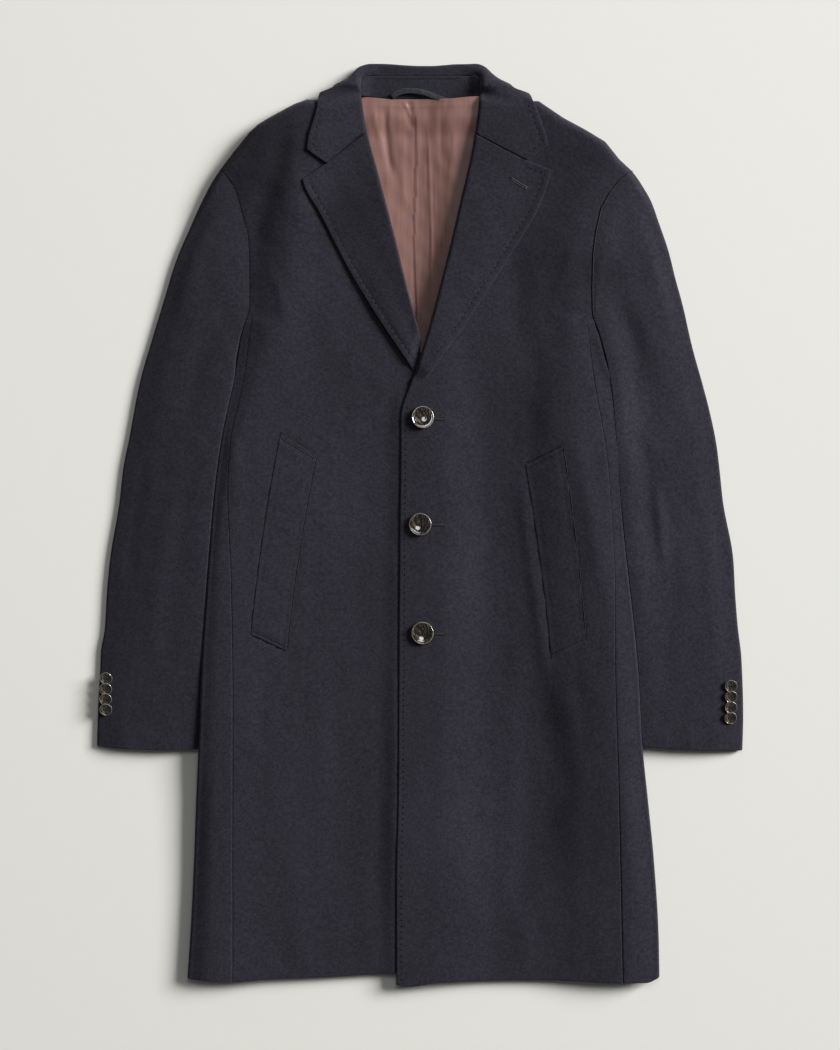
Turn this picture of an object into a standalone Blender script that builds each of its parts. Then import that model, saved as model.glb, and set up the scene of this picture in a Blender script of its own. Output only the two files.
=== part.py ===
"""Single-breasted wool overcoat, buttoned and laid flat on its back: the pieces it is cut and sewn from.

Sizes are in millimetres until the mesh is made, which is in metres. +X is to the wearer's left,
+Y is toward the collar, +Z is up from the surface that the coat lies on. The origin is under the middle.
"""

import bpy
import numpy as np

# ---------------------------------------------------------------- sizes of the cloth
CLOTH = 2.6  # one layer of melton with its interlining
FRONT_CLOTH = 3.0  # the fronts are interlined
LINING = 1.0
LAPEL = 3.4  # two layers pressed together
COLLAR = 2.6
STAND = 2.6
WELT = 2.8
GAP = 0.3  # between two pieces, at a seam or where one lies on another
HALF = GAP / 2
HIDDEN = 0.5  # half the gap at the seams underneath

FRONT_LAP = 25.0  # how far past the middle the under front runs
LAP_DROP = FRONT_CLOTH + 0.5  # the under front lies this far below the upper front
FOLD_DEPTH = 60.0  # how far the side panel runs in underneath the coat
SLEEVE_WRAP = 15.0  # how far the top sleeve wraps underneath at each fold

MIDDLE = np.array([0.155, 0.296, 0.0])  # of the finished outline, moved to the origin

FRONT_BUTTON = 25.4  # 40 line
CUFF_BUTTON = 14.2  # 22 line

# ---------------------------------------------------------------- outlines, (y, x)
LEFT_FOLD = [(-515, -262), (-468, -259), (-389, -255), (-311, -252), (-252, -249), (-147, -245), (-89, -241),
             (-32, -237), (41, -231), (93, -224), (136, -215.5), (163, -209.5), (188, -205.2), (210, -201.8),
             (224, -197.8), (232, -195.2)]
RIGHT_FOLD = [(-515, 270), (-462, 269), (-382, 264), (-311, 257), (-246, 250), (-171, 246), (-106, 240),
              (-34, 232), (31, 226), (96, 222), (142, 218), (165, 214), (194, 206), (214, 201), (232, 195)]
LEFT_ARM = [(232, -195.2), (242, -192.6), (254, -191.8), (294, -192), (328, -194), (345, -199), (377, -208), (401, -225)]
RIGHT_ARM = [(232, 195), (242, 193.5), (266, 193), (304, 194), (329, 197), (356, 203), (375, 214), (388, 224),
             (399, 239)]
LEFT_SEAM = [(-515, -210.5), (-400, -210.5), (-197, -210), (-60, -212), (41, -216), (93, -213), (160, -199),
             (232, -189)]
RIGHT_SEAM = [(-515, 228), (-300, 223), (-142, 219), (-70, 219), (2, 216), (69, 211), (110, 205), (160, 196),
              (232, 187)]
OVER_EDGE = [(-520, -26), (-397, -26), (-311, -24), (-121, -23), (1, -22), (85, -21), (122, -21), (134, -19),
             (153, -12), (173, -5)]
# The roll of each lapel and of the collar, as seen from above.
LEFT_ROLL = [(160, 12), (173, 8), (205, 2), (266, -14), (323, -28), (392, -46), (442, -59), (483, -66),
             (500, -67.5)]
RIGHT_ROLL = [(160, -9), (173, -5), (204, 5), (251, 18), (306, 32), (370, 47), (418, 58), (462, 65),
              (483, 67), (500, 68.5)]
# Shoulder lines, from the neck to the shoulder point, (x, y).
LEFT_SHOULDER = [(-70, 480.5), (-83, 480.5), (-98, 478.8), (-109, 477.4), (-118, 479.4), (-127, 480.0),
                 (-141, 475), (-169, 460), (-182, 452), (-192, 443), (-209, 422), (-225, 401)]
RIGHT_SHOULDER = [(71, 480.5), (86, 480.5), (102, 478.6), (117, 476.6), (127, 478.2), (134, 478.0), (162, 459),
                  (186, 446),
                  (209, 432), (225, 412), (239, 399)]
LEFT_SLEEVE = [(-255, -364.5), (-198, -363), (-166, -361), (-141, -360), (-119, -356), (-71, -353), (-40, -350),
               (28, -339), (63, -335), (99, -328), (162, -316), (211, -302), (247, -291), (299, -275),
               (332, -261), (373, -242), (396, -229), (401, -225.5)]
RIGHT_SLEEVE = [(-255, 364), (-214, 365), (-150, 363), (-115, 359), (-78, 356), (-40, 354), (28, 342), (66, 338),
                (90, 335), (129, 327), (156, 320), (203, 307), (247, 297), (280, 288), (308, 281), (343, 269),
                (365, 261), (384, 250), (396, 242), (399, 239.5)]
LEFT_HEM = [(-262, -510.5), (-225, -513.5), (-205, -513.5), (-174, -511), (-102, -508.3), (-28, -504.8),
            (30, -504.8)]
RIGHT_HEM = [(-26, -517), (-19, -519.4), (-12, -519.4), (11, -516.5), (20, -514.8), (63, -512.8), (128, -512),
             (171, -513), (214, -514.8), (255, -514.8), (270, -509)]
BACK_HEM = [(-262, -510.5), (-205, -513.5), (-174, -510), (-102, -506.5), (-28, -502.8), (40, -505), (128, -509.5),
            (171, -511.5), (214, -514.8), (270, -509)]
# How far the cuff's edge rises above its straight line (x, mm), on the wearer's right and left.
LEFT_CUFF = [(-366, 5.6), (-350, 3.6), (-339, 2.6), (-316, 1.5), (-294, 0.9), (-250, 1.9), (-230, 2.2)]
RIGHT_CUFF = [(228, 6.0), (252, 4.8), (271, 2.9), (302, 0.9), (335, 0.2), (370, 0.0)]

# ---------------------------------------------------------------- heights of the top of the coat
# Columns: y, then the height at the left fold, left ridge, left hollow, beside the lap, at the lap,
# right of the lap, right hollow, rise, right ridge and right fold.
HEIGHTS = [
    (-520, 11.5, 13.0, 11.5, 12.0, 15.0, 14.0, 11.5, 12.5, 15.0, 12.0),
    (-420, 12.0, 14.5, 12.0, 12.5, 16.0, 15.5, 12.0, 13.5, 17.0, 13.0),
    (-320, 14.0, 17.0, 12.5, 13.0, 17.0, 16.5, 12.5, 14.0, 19.5, 15.5),
    (-250, 19.5, 21.5, 13.5, 13.5, 17.5, 17.5, 13.0, 15.0, 22.5, 20.0),
    (-120, 20.0, 22.0, 14.0, 14.0, 18.5, 18.5, 13.5, 16.5, 23.5, 20.5),
    (0, 20.0, 22.5, 14.5, 15.0, 19.5, 19.5, 14.5, 17.5, 24.0, 20.5),
    (120, 20.0, 22.5, 16.5, 17.5, 21.5, 21.0, 17.0, 18.5, 24.0, 20.5),
    (200, 19.5, 22.0, 20.0, 20.0, 22.5, 22.0, 20.0, 20.0, 23.0, 20.0),
    (280, 19.0, 20.5, 23.0, 21.5, 22.5, 21.5, 23.0, 21.5, 20.5, 19.5),
    (360, 17.5, 19.5, 23.0, 21.5, 22.0, 21.5, 23.0, 21.0, 19.0, 18.0),
    (440, 16.5, 19.0, 21.5, 21.0, 21.0, 21.0, 21.5, 20.0, 18.5, 17.0),
    (500, 15.5, 18.0, 20.0, 20.0, 20.0, 20.0, 20.0, 19.0, 17.5, 16.0),
]
# How high the underside is lifted at each side fold, where a sleeve passes beneath it.
LIFT = [(-520, 0), (-345, 0), (-300, 2.5), (-262, 9.9), (-240, 10.0), (196, 10.0), (214, 6.5), (232, 3.0)]
LIFT_FLAT = 17.0  # the lift is level over this width in from the fold
LIFT_END = 54.0  # and has gone at this distance in

# Left sleeve and right sleeve: rows from the armhole to the cuff, as (y at the inner fold, y at the outer fold).
SLEEVE_ROWS = [(232, 400), (228, 386), (222, 368), (213, 347), (201, 322), (185, 294), (164, 262), (136, 222),
               (102, 178), (62, 128), (18, 74), (-28, 18), (-74, -38), (-120, -94), (-164, -146), (-204, -194),
               (-234, -230), (-253, -253)]
# How far the sleeve's inner fold runs in beneath the side fold (y, mm). Below nought it lies beside it.
TUCK = [(-255, 12), (-150, 13), (0, 13), (80, 12), (120, 9), (150, 5), (175, 1), (190, -0.8), (232, -1.0)]
# Sleeve heights: y at the inner fold, at the inner fold, hollow, ridge, at the outer fold.
LEFT_SLEEVE_Z = [(-255, 8.8, 13.5, 14.0, 12.5), (-120, 8.8, 15.0, 16.5, 13.5), (0, 8.8, 16.5, 18.5, 14.5),
                 (100, 8.8, 18.0, 19.5, 15.5), (170, 9.2, 19.0, 21.0, 16.5), (200, 12.0, 19.5, 21.5, 17.0),
                 (222, 16.5, 19.5, 20.5, 16.5), (232, 17.5, 19.0, 19.0, 15.5)]
RIGHT_SLEEVE_Z = [(-255, 8.8, 12.5, 15.0, 13.0), (-120, 8.8, 13.0, 18.0, 14.0), (0, 8.8, 13.0, 20.0, 15.0),
                  (100, 8.8, 14.5, 21.0, 16.0), (170, 9.2, 16.5, 22.5, 17.0), (200, 12.0, 18.0, 23.0, 17.5),
                  (222, 16.5, 19.0, 22.0, 17.0), (232, 17.5, 19.5, 20.5, 16.0)]


# ---------------------------------------------------------------- curves
def smooth(table, at, column=1):
    """A smooth curve through a short table, without overshoot: the value of one column at `at`."""
    rows = sorted(table)
    known = np.array([row[0] for row in rows], float)
    value = np.array([row[column] for row in rows], float)
    step = np.diff(known)
    slope = np.diff(value) / step
    tangent = np.zeros(len(rows))
    for i in range(1, len(rows) - 1):
        if slope[i - 1] * slope[i] > 0:
            a = 2 * step[i] + step[i - 1]
            b = step[i] + 2 * step[i - 1]
            tangent[i] = (a + b) / (a / slope[i - 1] + b / slope[i])
    tangent[0], tangent[-1] = slope[0], slope[-1]
    at = np.clip(np.asarray(at, float), known[0], known[-1])
    i = np.clip(np.searchsorted(known, at) - 1, 0, len(rows) - 2)
    h = step[i]
    t = (at - known[i]) / h
    return (value[i] * (1 + 2 * t) * (1 - t) ** 2 + tangent[i] * h * t * (1 - t) ** 2
            + value[i + 1] * t * t * (3 - 2 * t) + tangent[i + 1] * h * t * t * (t - 1))


def ease(t):
    """From nought to one without a corner."""
    t = np.clip(t, 0, 1)
    return t * t * (3 - 2 * t)


def along(points, count):
    """`count` points evenly spaced along a bent line."""
    points = np.asarray(points, float)
    length = np.concatenate([[0], np.cumsum(np.linalg.norm(np.diff(points, axis=0), axis=1))])
    even = np.linspace(0, length[-1], count)
    return np.stack([np.interp(even, length, points[:, i]) for i in range(points.shape[1])], axis=1)


def at_lengths(points, lengths):
    """Points at given distances along a bent line."""
    points = np.asarray(points, float)
    run = np.concatenate([[0], np.cumsum(np.linalg.norm(np.diff(points, axis=0), axis=1))])
    return np.stack([np.interp(lengths, run, points[:, i]) for i in range(points.shape[1])], axis=1)


def outline_x(side, y):
    """x of the coat's outer outline at one side: the side fold, then the armhole."""
    fold, arm = (LEFT_FOLD, LEFT_ARM) if side < 0 else (RIGHT_FOLD, RIGHT_ARM)
    return smooth(fold + arm[1:], y)


def top_height(x, y, under=False):
    """Height of the top of the coat's front at a point; `under` is the front that lies beneath at the lap."""
    x, y = np.broadcast_arrays(np.asarray(x, float), np.asarray(y, float))
    result = np.empty(x.shape)
    for index in np.ndindex(x.shape):
        left, right = float(outline_x(-1, y[index])), float(outline_x(1, y[index]))
        z = [float(smooth(HEIGHTS, y[index], i)) for i in range(1, 11)]
        lap = z[4] - LAP_DROP
        if under:
            where = [(left, z[0]), (left * 0.86, z[1]), (left * 0.42, z[2]), (-34, min(z[3], lap)), (-20, lap),
                     (40, z[5] - LAP_DROP)]
        else:
            where = [(-40, z[4]), (40, z[5]), (right * 0.48, z[6]), (right * 0.70, z[7]), (right * 0.87, z[8]),
                     (right, z[9])]
        result[index] = smooth(where, x[index])
    return result


def lift_at(y):
    return smooth(LIFT, y)


# ---------------------------------------------------------------- solids
def clear_scene():
    for thing in list(bpy.data.objects):
        bpy.data.objects.remove(thing)


def material(name, color, rough, sheen=0.0):
    made = bpy.data.materials.new(name)
    made.use_nodes = True
    shader = made.node_tree.nodes["Principled BSDF"]
    shader.inputs["Base Color"].default_value = (*color, 1)
    shader.inputs["Roughness"].default_value = rough
    shader.inputs["Sheen Weight"].default_value = sheen
    return made


def new_object(name, points, faces, look, shade=True):
    mesh = bpy.data.meshes.new(name)
    points = (np.asarray(points, float) - MIDDLE)
    points[:, 2] = np.maximum(points[:, 2], 0)
    mesh.from_pydata([tuple(p / 1000) for p in points], [], [tuple(f) for f in faces])
    mesh.validate()
    mesh.update()
    if shade:
        mesh.polygons.foreach_set("use_smooth", [True] * len(mesh.polygons))
    made = bpy.data.objects.new(name, mesh)
    made.data.materials.append(look)
    bpy.context.scene.collection.objects.link(made)
    return made


def normals_of(grid):
    down = np.gradient(grid, axis=0)
    across = np.gradient(grid, axis=1)
    normal = np.cross(across, down)
    return normal / np.linalg.norm(normal, axis=2, keepdims=True)


def wall(name, grid, thick, look, flip=False, level_end=False):
    """A closed wall: `grid` is its outer face, rows by columns, and the inner face lies `thick` inside it.
    The outer side is the one that across × down points to, or the other one with `flip`. `level_end` keeps
    the inner face level with the outer one along the last row, where it turns down at a shoulder."""
    rows, columns = grid.shape[:2]
    normal = normals_of(grid) * (-1 if flip else 1)
    if level_end:
        steep = np.abs(normal[-1, :, 2]) < 0.85
        normal[-1, steep, 2] = 0
        normal[-1] /= np.linalg.norm(normal[-1], axis=1, keepdims=True)
    inner = grid - normal * thick
    points = np.concatenate([grid.reshape(-1, 3), inner.reshape(-1, 3)])
    half = rows * columns
    faces = []
    for r in range(rows - 1):
        for c in range(columns - 1):
            a, b = r * columns + c, r * columns + c + 1
            d, e = a + columns, b + columns
            faces.append((a, b, e, d))
            faces.append((a + half, d + half, e + half, b + half))
    rim = [(0, c) for c in range(columns)] + [(r, columns - 1) for r in range(1, rows)]
    rim += [(rows - 1, c) for c in range(columns - 2, -1, -1)] + [(r, 0) for r in range(rows - 2, 0, -1)]
    ring = [r * columns + c for r, c in rim]
    for i, a in enumerate(ring):
        b = ring[(i + 1) % len(ring)]
        faces.append((a, a + half, b + half, b))
    if flip:
        faces = [face[::-1] for face in faces]
    return new_object(name, points, faces, look)


# ---------------------------------------------------------------- looks
def make_looks():
    return {
        "wool": material("wool", (0.028, 0.028, 0.040), 0.92, 0.35),
        "lining": material("lining", (0.235, 0.125, 0.108), 0.42),
        "horn": material("horn", (0.020, 0.015, 0.012), 0.22),
    }


# ---------------------------------------------------------------- body
BODY_ROWS = [-515, -497, -450, -390, -343, -308, -281, -262, -232, -160, -75, 10, 85, 140, 175, 200, 218,
             232 - HALF]
CHEST_ROWS = [0.03, 0.1, 0.21, 0.34, 0.48, 0.62, 0.75, 0.85, 0.92, 0.962, 0.987, 0.997, 1.0]
SHOULDER_MID = 8.6  # height of the shoulder seam, where the front turns down to meet the back
SHOULDER_ROUND = 9.0
UNDER_SEAM = [(-520, 60), (150, 60), (190, 42), (215, 24), (232, 12)]  # how far in the seam to the back is
COLLAR_UNDER = COLLAR + 2 * GAP  # the back panel is raised by this where the collar is folded under it


def mirrored(side, left, right):
    return left if side < 0 else right


def hem_shift(side, x, y):
    """How far a point near the hem moves along y, so that the hem follows its own line."""
    hem = smooth(mirrored(side, LEFT_HEM, RIGHT_HEM), x)
    return (hem + 515) * np.clip(1 - (np.asarray(y, float) + 515) / 70, 0, 1)


def back_shift(x, y):
    """How far a point near the back's hem moves along y, a little inside the line of the fronts."""
    return (smooth(BACK_HEM, x) + 515) * np.clip(1 - (np.asarray(y, float) + 515) / 70, 0, 1)


def cuff_rise(side, x, y):
    """How far a point near the cuff moves along y, so that the cuff follows its own line."""
    rise = float(smooth(mirrored(side, LEFT_CUFF, RIGHT_CUFF), x))
    return rise * float(np.clip(1 - (y + 253) / 60, 0, 1))


def underside(x, y):
    """Height of the coat's underside: flat, lifted where a sleeve or the collar passes beneath."""
    x, y = np.broadcast_arrays(np.asarray(x, float), np.asarray(y, float))
    left = x - outline_x(-1, y)
    right = outline_x(1, y) - x
    inward = np.minimum(left, right)
    part = 1 - ease((inward - LIFT_FLAT) / (LIFT_END - LIFT_FLAT))
    side = lift_at(y) * part * (y < 236)
    collar = COLLAR_UNDER * ease((y - 436) / 26) * ease((150 - np.abs(x)) / 26)
    return side + collar


def side_panel(side, looks):
    """The side panel: from its seam on the front, round the side fold, to its seam on the back."""
    grid = []
    for y in BODY_ROWS:
        fold = float(outline_x(side, y))
        seam = float(smooth(mirrored(side, LEFT_SEAM, RIGHT_SEAM), y)) + side * HALF
        inside = fold - side * 6.0
        top = float(top_height(inside, y, side < 0))
        low = float(underside(inside, y))
        half = (top - low) / 2
        points = [(x, float(top_height(x, y, side < 0))) for x in np.linspace(seam, inside, 4)]
        for angle in np.radians([55, 20, -20, -55, -90]):
            points.append((inside + side * 6.0 * np.cos(angle), low + half + half * np.sin(angle)))
        deep = fold - side * (float(smooth(UNDER_SEAM, y)) - HIDDEN)
        for x in np.linspace(inside, deep, 4)[1:]:
            points.append((x, float(underside(x, y))))
        grid.append([(x, y + float(hem_shift(side, x, y)), z) for x, z in points])
    wall(mirrored(side, "side_right_hand", "side_left_hand"), np.array(grid), CLOTH, looks["wool"], side < 0)


def shoulder_distance(x, y):
    """Distance from a point to the nearer shoulder line."""
    best = np.full(np.shape(x), 1e9)
    for line in (LEFT_SHOULDER, RIGHT_SHOULDER):
        for (ax, ay), (bx, by) in zip(line, line[1:]):
            dx, dy = bx - ax, by - ay
            t = np.clip(((x - ax) * dx + (y - ay) * dy) / (dx * dx + dy * dy), 0, 1)
            best = np.minimum(best, np.hypot(x - ax - t * dx, y - ay - t * dy))
    return best


def rounded(high, x, y):
    """The height of the front, turned down at the shoulder line to meet the back."""
    near = np.clip(shoulder_distance(x, y) / SHOULDER_ROUND, 0, 1)
    mid = SHOULDER_MID + HALF
    return mid + (high - mid) * np.sqrt(np.clip(1 - (1 - near) ** 2, 0, 1))


def chest_rows(side, inner, arm, shoulder):
    """Rows from the underarm to the shoulder, as plan points (x, y): they start along y and end on the shoulder."""
    shoulder = np.array(shoulder, float)
    inner_path = [(float(smooth(inner, y)), y) for y in np.linspace(232, shoulder[0][1], 40)]
    arm_path = [(float(smooth(arm, y)) - side * HALF, y) for y in np.linspace(232, shoulder[-1][1], 40)]
    return inner_path, arm_path, shoulder


def panel_rows(side, inner_of, columns):
    """Plan grid of a front: straight rows up to the underarm, then rows that turn to the shoulder line."""
    shoulder = np.array(mirrored(side, LEFT_SHOULDER, RIGHT_SHOULDER), float)
    seam = mirrored(side, LEFT_SEAM, RIGHT_SEAM)
    arm = mirrored(side, LEFT_ARM, RIGHT_ARM)
    spread = np.array(columns)
    grid = []
    for y in BODY_ROWS:
        a, b = inner_of(y), float(smooth(seam, y)) - side * HALF
        x = a + (b - a) * spread
        grid.append(np.stack([x, y + hem_shift(side, x, y)], axis=1))
    top = at_lengths(shoulder, spread * np.sum(np.linalg.norm(np.diff(shoulder, axis=0), axis=1)))
    top[0] = (inner_of(shoulder[0][1]), shoulder[0][1])
    for w in CHEST_ROWS:
        ya = 232 + (shoulder[0][1] - 232) * w
        yb = 232 + (shoulder[-1][1] - 232) * w
        a = np.array([inner_of(ya), ya])
        b = np.array([float(smooth(arm, yb)) - side * HALF, yb])
        chord = a + (b - a) * spread[:, None]
        bend = top - (top[0] + (top[-1] - top[0]) * spread[:, None])
        grid.append(chord + bend * w ** 3)
    return np.array(grid)


def under_front_edge(y):
    table = [(-520, FRONT_LAP), (107, FRONT_LAP), (130, 22), (150, 12), (173, 4)]
    table += [(row_y, x - LAPEL - 1.0) for row_y, x in LEFT_ROLL if row_y > 180]
    return float(smooth(table, y))


def upper_front_edge(y):
    table = [(a, b) for a, b in OVER_EDGE if a < 160] + [(155, -6), (160, -0.4), (166, 0.3), (175, 1.6)]
    table += [(row_y, x + LAPEL + 1.0) for row_y, x in RIGHT_ROLL if row_y > 200]
    return float(smooth(table, y))


laid_on = {}


def laid(side, x, y):
    """Height of a front at a point below the underarm, read from the front's own rows."""
    xs, zs = laid_on[side]
    heights = []
    for i in range(len(BODY_ROWS)):
        order = np.argsort(xs[i])
        heights.append(np.interp(x, xs[i][order], zs[i][order]))
    return float(np.interp(y, BODY_ROWS, heights))


def front(side, looks):
    under = side < 0
    columns = [0, 0.09, 0.19, 0.30, 0.41, 0.52, 0.63, 0.74, 0.84, 0.93, 0.985, 1.0]
    plan = panel_rows(side, under_front_edge if under else upper_front_edge, columns)
    x, y = plan[..., 0], plan[..., 1]
    z = rounded(top_height(x, y, under), x, y)
    laid_on[side] = (x, z)
    name = mirrored(side, "front_under", "front_upper")
    wall(name, np.dstack([x, y, z]), FRONT_CLOTH, looks["wool"], side < 0, True)


def back(looks):
    """The back panel, flat on the surface: its outer face is the underside."""
    grid = []
    spread = np.linspace(-1, 1, 15)
    for y in BODY_ROWS:
        deep = float(smooth(UNDER_SEAM, y)) + HIDDEN
        a, b = float(outline_x(-1, y)) + deep, float(outline_x(1, y)) - deep
        x = (a + b) / 2 + spread * (b - a) / 2
        grid.append(np.stack([x, y + back_shift(x, y)], axis=1))
    left, right = np.array(LEFT_SHOULDER, float), np.array(RIGHT_SHOULDER, float)
    neck = np.array([(x, float(neck_y(x)) - 0.5) for x in (-52, -27, 0, 27, 52)])
    left[0], right[0] = (-70, neck_y(-70) - 0.8), (71, neck_y(71) - 0.8)
    top = np.concatenate([along(left[::-1], 5), neck, along(right, 5)])
    for w in CHEST_ROWS:
        ya = 232 + (left[-1][1] - 232) * w
        yb = 232 + (right[-1][1] - 232) * w
        a = np.array([float(smooth(LEFT_ARM, ya)) + HALF, ya])
        b = np.array([float(smooth(RIGHT_ARM, yb)) - HALF, yb])
        share = (spread[:, None] + 1) / 2
        chord = a + (b - a) * share
        bend = top - (top[0] + (top[-1] - top[0]) * share)
        grid.append(chord + bend * w)
    grid = np.array(grid)
    x, y = grid[..., 0], grid[..., 1]
    near = np.clip(shoulder_distance(x, y) / SHOULDER_ROUND, 0, 1)
    low = underside(x, y)
    z = low + (SHOULDER_MID - HALF - low) * (1 - np.sqrt(np.clip(1 - (1 - near) ** 2, 0, 1)))
    wall("back", np.dstack([x, y, z]), CLOTH, looks["wool"], True, True)


# ---------------------------------------------------------------- sleeves
ROW_BEND = [1, 0.86, 0.66, 0.44, 0.25, 0.12, 0.04] + [0] * 20


def sleeve_rows(side):
    """For each row: the plan points of the row by fraction, its width and its heights."""
    table = mirrored(side, LEFT_SLEEVE, RIGHT_SLEEVE)
    arm = mirrored(side, LEFT_ARM, RIGHT_ARM)
    heights = mirrored(side, LEFT_SLEEVE_Z, RIGHT_SLEEVE_Z)
    arm_line = np.array([(float(smooth(arm, y)), y) for y in np.linspace(232, arm[-1][0], 40)])
    run = np.gradient(arm_line, axis=0)
    run /= np.linalg.norm(run, axis=1, keepdims=True)
    apart = 0.7 + 0.8 * ease((arm_line[:, 1] - 365) / 25)
    arm_line += apart[:, None] * np.stack([side * run[:, 1], -side * run[:, 0]], axis=1)
    rows = []
    for index, (y_in, y_out) in enumerate(SLEEVE_ROWS):
        inner = np.array([float(outline_x(side, y_in)) - side * float(smooth(TUCK, y_in)), y_in])
        outer = np.array([float(smooth(table, y_out)), y_out])
        if index == 0:
            inner, outer = arm_line[0], arm_line[-1]
        z = [float(smooth(heights, y_in, i)) for i in range(1, 5)]
        z.append(max(float(smooth(TUCK, y_in)), 0.0))
        rows.append((inner, outer, ROW_BEND[index], z))
    chord_a, chord_b = np.array(arm_line[0]), np.array(arm_line[-1])
    bend = along(arm_line, 41) - (chord_a + (chord_b - chord_a) * np.linspace(0, 1, 41)[:, None])
    return rows, bend


def sleeve_point(side, row, bend, e, z):
    inner, outer, weight, _ = row
    share = e / np.linalg.norm(outer - inner)
    shift = np.array([np.interp(share, np.linspace(0, 1, 41), bend[:, i]) for i in (0, 1)])
    plan = inner + (outer - inner) * share + shift * weight
    return (plan[0], plan[1] + cuff_rise(side, plan[0], plan[1]), z)


def sleeve(side, looks):
    rows, bend = sleeve_rows(side)
    hollow, ridge = (0.22, 0.46) if side < 0 else (0.35, 0.72)
    upper, lower = [], []
    for row in rows:
        inner, outer, _, (z_in, z_hollow, z_ridge, z_out, tuck) = row
        width = float(np.linalg.norm(outer - inner))
        turn_in, turn_out = min(z_in / 2, 5.5), min(z_out / 2, 7.0)
        shape = [(turn_in, z_in), (turn_in + 1 + tuck * 0.9, z_in + 0.4), (max(width * hollow, tuck + 30), z_hollow),
                 (width * ridge, z_ridge), (width - turn_out, z_out)]
        line = [(SLEEVE_WRAP - HALF, 0.0), (turn_in + 3, 0.0)]
        for angle in np.radians([-90, -40, 5, 50]):
            line.append((turn_in - turn_in * np.cos(angle), z_in / 2 + z_in / 2 * np.sin(angle)))
        for e in turn_in + (width - turn_out - turn_in) * np.array([0, .06, .13, .24, .40, .56, .72, .88, 1]):
            line.append((e, float(smooth(shape, e))))
        for angle in np.radians([50, 5, -40, -90]):
            line.append((width - turn_out + turn_out * np.cos(angle), z_out / 2 + z_out / 2 * np.sin(angle)))
        line += [(width - turn_out - 2, 0.0), (width - SLEEVE_WRAP + HALF, 0.0)]
        upper.append([sleeve_point(side, row, bend, e, z) for e, z in line])
        ends = np.linspace(SLEEVE_WRAP + HALF, width - SLEEVE_WRAP - HALF, 4)
        lower.append([sleeve_point(side, row, bend, e, 0.0) for e in ends])
    hand = mirrored(side, "right_hand", "left_hand")
    wall("top_sleeve_" + hand, np.array(upper), CLOTH, looks["wool"], side > 0)
    wall("under_sleeve_" + hand, np.array(lower), CLOTH, looks["wool"], side < 0)


# ---------------------------------------------------------------- lapels, collar and what is inside the neck
LEFT_LAPEL = [(-5.5, 174.5), (-43, 228), (-75, 280), (-112, 349), (-131, 384), (-132.5, 389)]
RIGHT_LAPEL = [(-2, 160), (9, 168), (23, 187), (49, 224), (75, 266), (90, 288), (118, 337), (132, 370),
               (147, 399), (148.5, 402.5)]
LAPEL_FROM, LAPEL_TO = (208, 167), (445.5, 444.5)  # along y on the roll line, wearer's right and left
LEFT_LEAF = [(-127.5, 425.5), (-126.5, 440), (-121.5, 454), (-117.5, 465), (-114.6, 475)]
RIGHT_LEAF = [(147, 431.5), (142, 443), (137, 455), (132.5, 466), (127.5, 476)]
LEFT_NOTCH, RIGHT_NOTCH = (-106, 410.8), (122.5, 415.2)
LEAF_BEND = [1, 0.62, 0.3, 0.1, 0]
# Rows of the collar past the leaves, as control points (x, y, z) from its inner seam, over the fold, to
# the outer edge underneath: the shoulder, the corner and the back of the neck.
COLLAR_LEFT = [
    [(-66.6, 494, 14), (-67.4, 494, 18.5), (-69.5, 494, 21.6), (-75, 494, 22.4), (-87, 493.5, 20.6),
     (-99, 491.8, 17), (-107, 489.6, 13.5), (-111.5, 488.2, 10.5), (-113, 487.6, 8), (-113.4, 487.4, 5.5)],
    [(-66.2, 499, 13), (-67.8, 499, 17.8), (-70.5, 499, 20.6), (-77, 499, 20.8), (-86, 498.4, 18),
     (-94, 497, 12.5), (-97.5, 495.2, 6.2), (-95.5, 492, 1.2), (-92.5, 487.5, 0), (-88, 476, 0)],
    [(-64.8, 503.5, 12), (-67.4, 504.2, 16.2), (-71, 504.6, 18.4), (-76, 504.6, 17), (-81, 503.8, 12.5),
     (-83.5, 502.6, 6.8), (-82.2, 500, 1.6), (-80, 494.5, 0), (-77.5, 486, 0), (-74, 474, 0)],
    [(-60.5, 506.8, 9.8), (-63.5, 511.2, 12.2), (-66.4, 514.6, 11.4), (-68.6, 516.6, 8.4), (-68.8, 516.8, 5),
     (-67.8, 515.2, 1.6), (-66, 511, 0), (-64.5, 503, 0), (-62.5, 491, 0), (-59, 473.5, 0)],
    [(-50, 507.4, 7.2), (-52, 512.6, 8.6), (-53.6, 517, 8.4), (-55, 520.2, 6.4), (-55.2, 520.9, 3.8),
     (-54.6, 519.4, 1), (-53.4, 514.5, 0), (-52, 505, 0), (-50.5, 492, 0), (-48, 473, 0)],
]
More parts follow.
